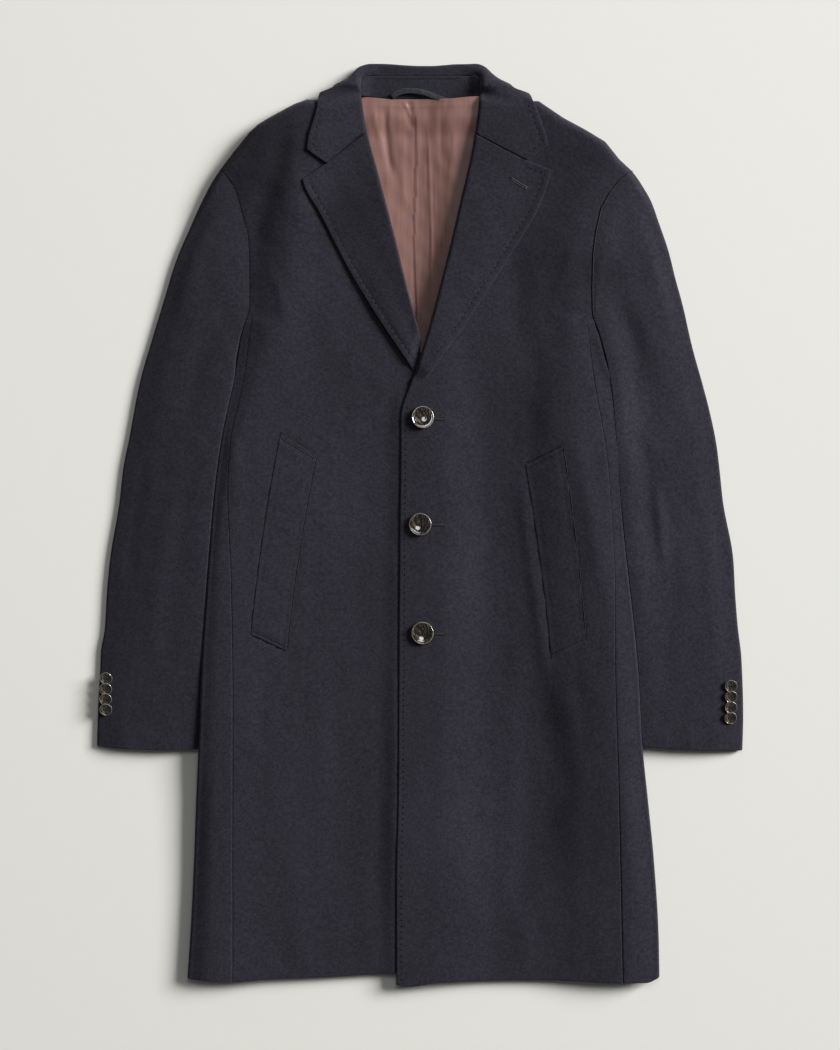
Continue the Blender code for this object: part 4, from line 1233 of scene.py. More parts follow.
FRONT_FOLDS = (
    Fold(((-30, 150), (-62, 176), (-98, 186)), 0.7, 7),
    Fold(((-22, 60), (-60, 44), (-92, 50)), 0.45, 9),
    Fold(((22, 112), (52, 96), (84, 102)), 0.55, 7),
    Fold(((20, -8), (48, -20), (80, -12)), 0.45, 8),
    Fold(((20, -128), (52, -146), (90, -140)), 0.5, 8),
    Fold(((-176, 300), (-160, 270), (-150, 230)), 0.8, 6),
    Fold(((178, 320), (162, 286), (150, 250)), 0.8, 6),
    Fold(((-205, 250), (-176, 236), (-146, 240)), -0.9, 6),
    Fold(((206, 246), (178, 236), (150, 244)), -0.9, 6),
    Fold(((-160, -150), (-178, -190), (-182, -250)), -0.7, 8),
    Fold(((168, -160), (182, -200), (186, -262)), -0.8, 8),
    Fold(((-128, -160), (-112, -220), (-110, -300)), 0.6, 10),
    Fold(((-60, -440), (-52, -470), (-56, -500)), 0.8, 11),
    Fold(((-140, -430), (-132, -470), (-136, -505)), 0.9, 12),
    Fold(((110, -420), (118, -470), (114, -505)), 0.9, 12),
    Fold(((196, -420), (204, -470), (200, -505)), 0.8, 12),
    Fold(((172, 130), (183, 60), (195, -10), (206, -90)), 1.2, 9),
    Fold(((113, 64), (119, 0), (130, -80), (141, -160), (150, -200)), 1.5, 6.0),
    Fold(((128, -100), (139, -190), (152, -262), (150, -390)), -0.9, 17),
)


@dataclass
class BodyPanels:
    """The two fronts, the two side panels and the back."""

    form: DressedForm
    finish: Material
    rows_low: int = 120
    rows_high: int = 64
    columns: int = 66
    hem: float = 1.3
    seam: float = 0.09
    press: float = 2.4
    fold_turn: dict[Side, Table] = field(default_factory=lambda: {
        Side.RIGHT: Table([(-515, 4.6), (60, 4.6), (140, 3.2), (200, 1.6), (232, 1.0)]),
        Side.LEFT: Table([(-515, 4.6), (-20, 4.6), (40, 1.8), (110, 0.8), (232, 0.9)])})
    lap_rise: float = 2.2
    lap_wide: float = 11.0
    lap_narrow: float = 2.6
    arm_seam_long: float = 175.0
    side_seam_long: float = 745.0
    seam_fade: float = 8.0
    shoulder_fade: float = 12.0
    edge_fade: float = 10.0
    grids: dict[str, Array] = field(default_factory=dict)

    def heights_of_rows(self) -> Array:
        """y of the rows up to the underarm, closer together at the hem."""
        close = HEM_LINE + np.array([0, 1.5, 3.5, 6, 9.5, 14])
        return np.concatenate([close, np.linspace(-496, 231.85, self.rows_low)])

    def turn_shares(self) -> Array:
        """How far each row above the underarm has turned to the shoulder line, nought to one."""
        even = np.linspace(0, 1, self.rows_high + 1)[1:]
        return np.concatenate([[0.0012], 1 - (1 - even) ** 1.5])

    def shares_across(self) -> Array:
        """Places across a front, closer together at both edges.

        Returns:
            The places, nought to one.
        """
        even = np.linspace(0, 1, self.columns)
        close = np.array([0.004, 0.009, 0.988, 0.9945])
        return np.sort(np.concatenate([even, close]))

    def front_plan(self, side: Side) -> Array:
        """Plan of a front: straight rows up to the underarm, then rows that turn to the shoulder line.

        Args:
            side: Which front.

        Returns:
            A grid of plan points.
        """
        shoulder = np.array(SHOULDER_LINE[side], float)
        share = self.shares_across()
        grid = []
        for y in self.heights_of_rows():
            start = float(self.form.read("edge", side, y))
            end = self.form.spot("seam", side, y, -self.form.seam_gap / 2)[0]
            x = start + (end - start) * share
            grid.append(np.stack([x, y + self.form.hem_shift(side, x, y)], axis=1))
        top = at_lengths(shoulder, share * line_length(shoulder))
        top[0] = self.form.spot("edge", side, shoulder[0][1])
        bend = top - (top[0] + (top[-1] - top[0]) * share[:, None])
        for turn in self.turn_shares():
            low, high = (UNDERARM + (end[1] - UNDERARM) * turn for end in (shoulder[0], shoulder[-1]))
            start = self.form.spot("edge", side, low)
            end = self.form.spot("arm", side, high, -self.form.gap / 2)
            grid.append(start + (end - start) * share[:, None] + bend * turn ** 3)
        return np.array(grid)

    def front_height(self, side: Side, x: Array, y: Array) -> Array:
        """Height of a front's outer face, with its wrinkles and the ease beside its seams.

        Args:
            side: Which front.
            x: Plan x.
            y: Plan y.

        Returns:
            The height at each point.
        """
        form = self.form
        high = form.front_top(side, x, y)
        arm = [form.spot("arm", side, at) for at in np.linspace(236, 398, 24)]
        seam = [form.spot("seam", side, at) for at in np.linspace(HEM_LINE, 228, 40)]
        arm_gap, arm_run = segment_distance(x, y, arm)
        seam_gap, seam_run = segment_distance(x, y, seam)
        lift = form.wrinkles(x, y) * np.clip(np.minimum(arm_gap, seam_gap) / self.seam_fade, 0, 1)
        lift = lift + side.pick(0.7, 0.8) * form.seam_ease(arm_gap, arm_run * self.arm_seam_long)
        lift = lift + side.pick(0.06, 0.14) * form.seam_ease(seam_gap, seam_run * self.side_seam_long)
        if side is Side.RIGHT:
            past = x - form.read("edge", Side.LEFT, y) + 1.0
            tip = np.exp(-((past / np.where(past < 0, self.lap_wide, self.lap_narrow)) ** 2))
            lift = lift + self.lap_rise * tip * ease((160 - y) / 14)
        near = np.clip(form.shoulder_distance(x, y) / self.shoulder_fade, 0, 1)
        edge = form.gap + np.abs(x - form.read("edge", side, y))
        lift = lift * near * np.clip(edge / self.edge_fade, 0.25, 1)
        return high + lift - self.press * self.welt_dent(side, x, y)

    def welt_dent(self, side: Side, x: Array, y: Array) -> Array:
        """How far a front is pressed down beneath its pocket welt.

        Args:
            side: Which front.
            x: Plan x.
            y: Plan y.

        Returns:
            A share at each point, nought to one.
        """
        *corners, bow = WELTS[side]
        a, b, c, d = np.array(corners, float)
        bow = bow * side.value
        t = np.clip((a[1] + b[1] - 2 * y) / (a[1] + b[1] - c[1] - d[1]), -0.2, 1.2)
        sag = bow * 4 * np.clip(t * (1 - t), 0, 1)
        left, right = a[0] + (d[0] - a[0]) * t + sag, b[0] + (c[0] - b[0]) * t + sag
        share = np.clip((x - left) / (right - left), 0, 1)
        top, low = a[1] + (b[1] - a[1]) * share, d[1] + (c[1] - d[1]) * share
        inside = np.minimum(np.minimum((x - left) * side.value * -1, (right - x) * side.value * -1),
                            np.minimum(top - y, y - low))
        return ease(inside / 3.0 + 0.12)

    def build_front(self, side: Side) -> None:
        """Makes one front.

        Args:
            side: Which front.
        """
        plan = self.front_plan(side)
        x, y = plan[..., 0], plan[..., 1]
        grid = np.dstack([x, y, self.front_height(side, x, y)])
        name = side.pick("front_under", "front_upper")
        self.grids[name] = grid
        free = self.form.front_cloth / 2
        bulge = (free, 0.2, free, side.pick(0.05, self.seam))
        shell = ClothShell(name, grid, self.form.front_cloth, bulge,
                           flip=side is Side.RIGHT, level_end=True)
        piece = shell.build(self.finish)

    def side_grid(self, side: Side) -> Array:
        """Points of a side panel, from its seam on the front, round the side fold, to its seam on the back.

        Args:
            side: Which side.

        Returns:
            A grid of points.
        """
        form, sign = self.form, side.value
        under = side is Side.RIGHT
        grid = []
        for y in self.heights_of_rows():
            fold = float(form.read("outline", side, y))
            seam = form.spot("seam", side, y, form.seam_gap / 2)[0]
            turn = float(self.fold_turn[side](y))
            inside = fold - sign * turn
            top_x = np.linspace(seam, inside, 16)
            high = form.top(top_x, y, under)
            gap = np.abs(top_x - seam)
            lift = form.wrinkles(top_x, y + 0 * top_x) * np.clip(gap / self.seam_fade, 0, 1)
            lift = lift + side.pick(0.12, 0.24) * form.seam_ease(gap, y + 0 * gap)
            fade = np.clip(np.abs(top_x - inside) / self.seam_fade, 0, 1)
            points = list(zip(top_x, high + lift * fade))
            top, low = float(form.top(inside, y, under)), float(form.underside(inside, y))
            half = (top - low) / 2
            for angle in np.radians([80, 65, 48, 30, 10, -10, -30, -50, -70, -90]):
                out, rise = math.cos(angle) ** 0.65, math.copysign(abs(math.sin(angle)) ** 0.65, angle)
                points.append((inside + sign * turn * out, low + half + half * rise))
            deep = fold - sign * (float(form.tables["deep"](y)) - 0.5)
            for x in np.linspace(inside, deep, 8)[1:]:
                points.append((x, float(form.underside(x, y))))
            grid.append([(x, y + float(form.hem_shift(side, x, y)), z) for x, z in points])
        return np.array(grid)

    def build_side(self, side: Side) -> None:
        """Makes one side panel, which wraps round the side fold.

        Args:
            side: Which side.
        """
        grid = self.side_grid(side)
        name = "side_" + side.hand
        shell = ClothShell(name, grid, self.form.cloth, (self.hem, 0.3, self.seam, 0.2),
                           flip=side is Side.RIGHT)
        piece = shell.build(self.finish)

    def back_grid(self) -> Array:
        """Points of the back's outer face, which is the coat's underside.

        Returns:
            A grid of points.
        """
        form = self.form
        share = np.linspace(0, 1, 57)
        grid = []
        for y in self.heights_of_rows()[::2]:
            deep = float(form.tables["deep"](y)) + 0.5
            start, end = (form.spot("outline", side, y, -deep)[0] for side in Side)
            x = start + (end - start) * share
            grid.append(np.stack([x, y + form.back_shift(x, y)], axis=1))
        left, right = (np.array(line, float) for line in SHOULDER_LINE.values())
        neck_x = np.linspace(-52, 52, 17)
        neck = np.stack([neck_x, form.neck_y(neck_x) - 0.5], axis=1)
        left[0], right[0] = (-70, form.neck_y(-70) - 0.8), (71, form.neck_y(71) - 0.8)
        top = np.concatenate([along(left[::-1], 20), neck, along(right, 20)])
        bend = top - (top[0] + (top[-1] - top[0]) * share[:, None])
        for turn in np.concatenate([self.turn_shares()[:-1:2], [1.0]]):
            low, high = (UNDERARM + (end[1] - UNDERARM) * turn for end in (left[-1], right[-1]))
            start = form.spot("arm", Side.RIGHT, low, -form.gap / 2)
            end = form.spot("arm", Side.LEFT, high, -form.gap / 2)
            grid.append(start + (end - start) * share[:, None] + bend * turn)
        plan = np.array(grid)
        x, y = plan[..., 0], plan[..., 1]
        near = np.clip(form.shoulder_distance(x, y) / form.shoulder_round, 0, 1)
        low = form.underside(x, y)
        meet = form.shoulder_mid - form.gap / 2
        z = low + (meet - low) * (1 - np.sqrt(np.clip(1 - (1 - near) ** 2, 0, 1)))
        return np.dstack([x, y, z])

    def build_back(self) -> None:
        """Makes the back panel, flat on the surface."""
        grid = self.back_grid()
        shell = ClothShell("back", grid, self.form.cloth, (self.hem, 0.1, 0.2, 0.2), flip=True,
                           level_end=True, turns=3)
        piece = shell.build(self.finish)

    def build(self) -> None:
        """Makes every panel of the body."""
        self.build_back()
        for side in Side:
            self.build_front(side)
            self.build_side(side)


# ---- the sleeves
SLEEVE_FOLDS = {
    Side.RIGHT: (
        Fold(((-212, 372), (-246, 330), (-262, 280), (-270, 220)), 1.3, 12),
        Fold(((-204, 262), (-232, 222), (-254, 170), (-268, 110)), -1.5, 13),
        Fold(((-272, 60), (-290, -20), (-300, -100), (-306, -170)), 1.1, 12),
        Fold(((-306, 90), (-322, 10), (-330, -80)), -0.9, 11),
        Fold(((-240, 100), (-262, 72), (-292, 64)), 0.8, 7),
        Fold(((-212, 362), (-210, 350), (-213, 338)), 0.9, 5),
        Fold(((-250, 36), (-274, 18), (-304, 20)), -0.8, 7),
        Fold(((-262, -60), (-284, -70), (-312, -62)), 0.6, 8),
    ),
    Side.LEFT: (
        Fold(((226, 372), (252, 330), (268, 280), (280, 230)), 1.2, 12),
        Fold(((206, 262), (238, 214), (258, 160), (272, 100)), -1.7, 14),
        Fold(((264, 50), (271, 0), (274, -50)), 2.4, 7),
        Fold(((272, 20), (284, -60), (292, -120)), -0.8, 12),
        Fold(((318, 60), (324, -10), (330, -110), (334, -200)), 0.9, 11),
        Fold(((242, 110), (262, 84), (292, 78)), 0.8, 7),
        Fold(((250, 44), (276, 26), (306, 30)), -0.8, 7),
        Fold(((266, -56), (292, -66), (318, -58)), 0.6, 8),
    ),
}


# Each row's two ends and its share of the armhole's bend, by its place from the armhole.
ROW_TABLE = Table([(i, *row, bend) for i, (row, bend) in enumerate(
    zip(SLEEVE_ROWS, [1, .86, .66, .44, .25, .12, .04] + [0] * 11))])


@dataclass
class Sleeve:
    """A two-piece sleeve, set into the armhole and lying beside the body."""

    side: Side
    form: DressedForm
    finish: Material
    wrap: float = 15.0
    rows: int = 150
    across: int = 50

    def armhole(self) -> Array:
        """The seam line of the armhole in plan, standing off the body's edge.

        Returns:
            The points of the line.
        """
        y = np.linspace(UNDERARM, ARM_LINE[self.side][-1][0], 60)
        line = np.stack([self.form.read("arm", self.side, y), y], axis=1)
        run, sign = unit(np.gradient(line, axis=0)), self.side.value
        return line + self.form.gap / 2 * np.stack([sign * run[:, 1], -sign * run[:, 0]], axis=1)

    def bent(self, row: tuple[Array, Array, float], e: Array) -> Array:
        """Plan points across a row.

        Args:
            row: Its inner end, outer end and share of the armhole's bend.
            e: Distances from the inner fold.

        Returns:
            The plan points.
        """
        inner, outer, weight = row
        arm = self.armhole()
        bend = along(arm, 61) - (arm[0] + (arm[-1] - arm[0]) * np.linspace(0, 1, 61)[:, None])
        share = e / np.linalg.norm(outer - inner)
        shift = np.stack([np.interp(share, np.linspace(0, 1, 61), bend[:, i]) for i in (0, 1)], axis=1)
        plan = inner + (outer - inner) * share[:, None] + shift * weight
        plan[:, 1] += self.form.cuff_rise(self.side, plan[:, 0], plan[:, 1])
        return plan

    def row_ends(self, at: float) -> tuple[Array, Array, float]:
        """The ends of a row.

        Args:
            at: Its place from the armhole, counted in rows of the short table.

        Returns:
            Inner end, outer end and share of the armhole's bend.
        """
        y_in, y_out, weight = (float(value) for value in ROW_TABLE.all(at))
        inner = self.form.spot("outline", self.side, y_in, -float(self.form.tables["tuck"](y_in)))
        outer = self.form.spot("sleeve", self.side, y_out)
        arm = self.armhole()
        start = 1 - float(ease(at))
        inner = inner + (arm[0] - inner) * start
        outer = outer + (arm[-1] - outer) * start
        return inner, outer, weight

    def lift(self, x: Array, y: Array, e: Array, width: float, at: float) -> Array:
        """The folds and wrinkles on the outer face of a row.

        Args:
            x: Plan x.
            y: Plan y.
            e: Distances from the inner fold.
            width: The row's width.
            at: The row's place from the armhole.

        Returns:
            A lift at each point.
        """
        rise = 0.15 * np.sin(x / 6.1 + np.sin(y / 17.0)) * np.sin(y / 10.0 + x / 31.0)
        rise = rise + 0.12 * np.sin((x - 0.7 * y) / 5.2) * np.sin((y + 0.6 * x) / 9.3)
        rise = with_folds(rise, SLEEVE_FOLDS[self.side], x, y)
        window = np.clip(np.minimum(e - 5.5, width - 7 - e) / 14, 0, 1)
        ripple = 0.3 * math.exp(-at / 0.55) * np.sin(e / 3.0 + 1.2 * np.sin(e / 13.0))
        full = self.side.pick(0.9, 3.0) * math.exp(-(((at - 0.8) / 0.8) ** 2)) * ease(at / 0.5)
        return (rise + ripple) * window + full * np.clip(window * 1.6, 0, 1)

    @cached_property
    def grids(self) -> tuple[Array, Array]:
        """Points of the top sleeve and of the under sleeve.

        Returns:
            Two grids.
        """
        form = self.form
        heights = form.tables[f"sleeve_z_{self.side.value}"]
        places = np.concatenate([np.linspace(0, 1, 16)[:-1], np.linspace(1, 16.93, self.rows - 19),
                                 [16.96, 16.98, 16.992, 17]])
        upper, lower = [], []
        for at in places:
            row = self.row_ends(float(at))
            inner, outer, _ = row
            width = float(np.linalg.norm(outer - inner))
            z_in, z_past, z_b, z_c, z_d, z_out = (float(v) for v in heights.all(inner[1]))
            tuck = max(float(form.tables["tuck"](inner[1])), 0.0)
            turn_in, turn_out = min(z_in / 2, 5.5, max(1.1, tuck - 1.2)), min(z_out / 2, 7.0)
            start = max(tuck, turn_in + 0.7)
            low = z_in + 0.3 + self.side.pick(0.96, 0.98) * max(z_past - z_in - 0.3, 0)
            shape = Table([(turn_in, z_in), (start - 0.5, z_in + 0.3),
                           (start + self.side.pick(0.9, 0.35), low), (start + 8.0, z_past),
                           (width * 0.38, z_b), (width * 0.52, z_c), (width * 0.76, z_d),
                           (width - turn_out, z_out)])
            wrap = self.wrap - form.gap / 2
            arc = np.radians(np.linspace(-90, 62, 10))
            e_low = np.linspace(wrap, turn_in + 0.8, 4)
            e_in = turn_in - turn_in * np.cos(arc)
            e_top = np.concatenate([np.linspace(turn_in, start - 0.5, 4),
                                    start + np.array([-0.2, .08, .35, .9, 2.6]),
                                    np.linspace(start + 5.0, width - turn_out, self.across)])
            e_out = width - turn_out + turn_out * np.cos(arc[::-1])
            e_end = np.linspace(width - turn_out - 0.5, width - wrap, 4)
            top_plan = self.bent(row, e_top)
            z_top = shape(e_top) + self.lift(top_plan[:, 0], top_plan[:, 1], e_top, width, float(at))
            level = self.side.pick(3.4, 3.0)
            if at < level:
                sign, y = self.side.value, top_plan[:, 1]
                x = sign * np.minimum(sign * top_plan[:, 0], sign * form.read("arm", self.side, y))
                edge = form.front_top(self.side, x, y) + self.side.pick(0.2, -0.1)
                z_top = edge + (z_top - edge) * float(ease(at / level))
            e = np.concatenate([e_low, e_in, e_top, e_out, e_end])
            z = np.concatenate([e_low * 0, z_in / 2 * (1 + np.sin(arc)), z_top,
                                z_out / 2 * (1 + np.sin(arc[::-1])), e_end * 0])
            plan = self.bent(row, e)
            upper.append(np.column_stack([plan, z]))
            e_under = np.linspace(self.wrap + form.gap / 2, width - self.wrap - form.gap / 2, 14)
            lower.append(np.column_stack([self.bent(row, e_under), e_under * 0]))
        return np.array(upper), np.array(lower)

    def build(self) -> None:
        """Makes the top sleeve and the under sleeve."""
        upper, lower = self.grids
        left = self.side is Side.LEFT
        top_name, under_name = "top_sleeve_" + self.side.hand, "under_sleeve_" + self.side.hand
        shell = ClothShell(top_name, upper, self.form.cloth, (0.4, 1.3, 0.15, 0.15), flip=left)
        top = shell.build(self.finish)
        shell = ClothShell(under_name, lower, self.form.cloth, (0.3, 1.3, 0.15, 0.15),
                           flip=not left, turns=3)
        under = shell.build(self.finish)


# ---- lapels, collar and the inside of the neck
COLLAR_BEND = {
    Side.RIGHT: [
        [(-66.6, 494, 14), (-67.4, 494, 18.5), (-69.5, 494, 21.6), (-75, 494, 22.4), (-87, 493.5, 20.6),
         (-99, 491.8, 17), (-107, 489.6, 13.5), (-111.5, 488.2, 10.5), (-113, 487.6, 8),
         (-113.4, 487.4, 5.5)],
        [(-66.2, 499, 13), (-67.8, 499, 17.8), (-70.5, 499, 20.6), (-77, 499, 20.8), (-86, 498.4, 18),
         (-94, 497, 12.5), (-97.5, 495.2, 6.2), (-95.5, 492, 1.2), (-92.5, 487.5, 0), (-88, 476, 0)],
        [(-64.8, 503.5, 12), (-67.4, 504.2, 16.2), (-71, 504.6, 18.4), (-76, 504.6, 17),
         (-81, 503.8, 12.5), (-83.5, 502.6, 6.8), (-82.2, 500, 1.6), (-80, 494.5, 0), (-77.5, 486, 0),
         (-74, 474, 0)],
        [(-60.5, 506.8, 9.8), (-63.5, 511.2, 12.2), (-66.4, 514.6, 11.4), (-68.6, 516.6, 8.4),
         (-68.8, 516.8, 5), (-67.8, 515.2, 1.6), (-66, 511, 0), (-64.5, 503, 0), (-62.5, 491, 0),
         (-59, 473.5, 0)],
        [(-50, 507.4, 7.2), (-52, 512.6, 8.6), (-53.6, 517, 8.4), (-55, 520.2, 6.4), (-55.2, 520.9, 3.8),
         (-54.6, 519.4, 1), (-53.4, 514.5, 0), (-52, 505, 0), (-50.5, 492, 0), (-48, 473, 0)],
    ],
    Side.LEFT: [
        [(67.8, 494, 14), (68.6, 494, 18.5), (70.7, 494, 21.6), (77, 494, 22.4), (91, 493.5, 20.6),
         (105, 491.8, 17), (114, 489.6, 13.5), (119.4, 488.2, 10.5), (121.8, 487.6, 8), (122.6, 487.2, 5.5)],
        [(67.6, 499, 13), (69.2, 499, 17.8), (72, 499, 20.6), (80, 499, 20.8), (91, 498.8, 18),
         (100, 497.6, 12.5), (104, 495.6, 6.2), (102, 492, 1.2), (99, 487.5, 0), (94, 476, 0)],
        [(66.6, 503.5, 12), (69.4, 504.4, 16.2), (73.6, 505, 18.4), (80, 505.2, 17), (86.6, 504.6, 12.5),
         (89.6, 503, 6.8), (88.2, 500, 1.6), (85.6, 494.5, 0), (83, 486, 0), (79.5, 474, 0)],
        [(63, 506.8, 9.8), (67, 511.2, 12.2), (71, 514.6, 11.4), (74.4, 516, 8.4), (75, 516, 5),
         (73.6, 514.4, 1.6), (71.5, 510, 0), (69.5, 502, 0), (67.5, 491, 0), (64, 473.5, 0)],
        [(53, 507.4, 7.2), (56, 512.8, 8.6), (59, 517.4, 8.4), (61.6, 520.4, 6.4), (62.2, 521, 3.8),
         (61.2, 519.4, 1), (59, 514.5, 0), (57, 505, 0), (55, 492, 0), (52, 473, 0)],
    ],
}
# The back of the neck: x, y of the fold's edge and y of the outer edge underneath.
COLLAR_BACK = [(-42, 521.0, 472.5), (-28, 520.2, 472), (-14, 519.2, 471.5), (0, 518.6, 471.5),
               (14, 518.6, 471.5), (28, 519.6, 472), (42, 520.6, 472.5)]
STAND_TOP = 507.12
STAND_Z = [(-68, 13.4), (-65, 12.2), (-60, 9.8), (-52, 7.6), (-42, 6.8), (-30, 6.6), (30, 6.6), (42, 6.8),
           (54, 7.6), (61, 10.6), (66.5, 13.6), (70, 14.6)]


def swelled_edge(gap: Array, deep: float) -> Array:
    """The plump border of a tailored edge: a groove along its stitches and a swelling outside it.

    Args:
        gap: Distance from the edge.
        deep: Depth of the groove.

    Returns:
        A lift at each point.
    """
    return deep * (0.45 * np.sin(np.pi * np.clip(gap / 6.0, 0, 1)) - np.exp(-(((gap - 6.3) / 1.3) ** 2)))


@dataclass
class Lapel:
    """The top of a front, turned back: it rolls round the front's edge and lies on it."""

    side: Side
    form: DressedForm
    finish: Material
    rows: int = 110
    columns: int = 60
    belly: float = 0.7
    roll_round: float = 4.0
    groove: float = 0.3

    def height(self, x: Array, y: Array) -> Array:
        """Height of the lapel where it lies on the front."""
        return self.form.front_top(self.side, x, y) + self.form.gap + self.form.lapel

    @cached_property
    def grid(self) -> Array:
        """Points of the lapel's outer face, from inside the roll to its outer edge.

        Returns:
            A grid of points.
        """
        outer = rounded_line(LAPEL_EDGE[self.side], self.rows)
        border = [tuple(point) for point in outer[::3]] + [tuple(outer[-1]), NOTCH[self.side]]
        places = np.linspace(LAPEL_FROM[self.side], LAPEL_TO[self.side] - self.form.gap / 2, self.rows)
        grid = []
        for i, y in enumerate(places):
            start = self.form.spot("roll", self.side, y)
            span = outer[i] - start
            width = float(np.linalg.norm(span))
            turn = min(self.side.pick(2.6, 4.0), width * 0.4)
            crest = start + span * turn / width
            down = i / (self.rows - 1)
            sink = 3.2 * (1 - float(ease(down * 15)))
            part = min(width / 40, 1)
            roll = self.side.pick(9.0, 0.7) * math.sin(math.pi * min(down * 0.9 + 0.1, 1) * 0.75) * part
            top = float(self.height(crest[0], crest[1])) + roll - sink
            row = [(*start, top - drop) for drop in (6.5, 5.3, 4.2)]
            for angle in np.radians([15, 30, 45, 60, 75]):
                plan = start + span / width * turn * (1 - math.cos(angle))
                row.append((*plan, top - self.roll_round + self.roll_round * math.sin(angle)))
            share = 1 - (1 - turn / width) * (1 - np.linspace(0, 1, self.columns)) ** 1.35
            notch = self.side.pick(0.65, 0.69)
            bend = np.minimum(share / notch, (1 - share) / (1 - notch)) * float(ease((down - 0.82) / 0.18))
            plan = start + span * share[:, None] - bend[:, None] * np.array([0, self.side.pick(1.3, 2.6)])
            high = self.height(plan[:, 0], plan[:, 1])
            full = np.sin(np.pi * np.clip(share * 1.05, 0, 1)) * math.sin(math.pi * min(down * 1.1 + 0.04, 1))
            edge = np.clip((1 - share) * width / 10, 0, 1)
            wave = 0.22 * np.sin(plan[:, 1] / 9.0 + plan[:, 0] / 15.0) * np.sin(plan[:, 0] / 8.0 + 1.0)
            high = high + roll * np.clip((1 - share) * 1.06, 0, 1) ** 1.3 + wave * edge
            high = high + self.belly * full * np.clip(width / 60, 0, 1) - sink
            low_part = float(ease((0.62 - down) / 0.4)) * min(width / 25, 1)
            high = high + self.side.pick(1.6, 0.4) * low_part * ease((share - 0.3) / 0.5)
            gap = segment_distance(plan[:, 0], plan[:, 1], border)[0]
            high = high + swelled_edge(gap, self.groove) * part
            row += [(px, py, pz) for (px, py), pz in zip(plan, high)]
            grid.append(row)
        return np.array(grid)

    def build(self) -> None:
        """Makes the lapel."""
        name = "lapel_" + self.side.hand
        grid = self.grid
        free = self.form.lapel / 2
        shell = ClothShell(name, grid, self.form.lapel, (free, free * 0.8, 0.4, free),
                           flip=self.side is Side.RIGHT)
        piece = shell.build(self.finish)
        self.side.pick("front_under", "front_upper")


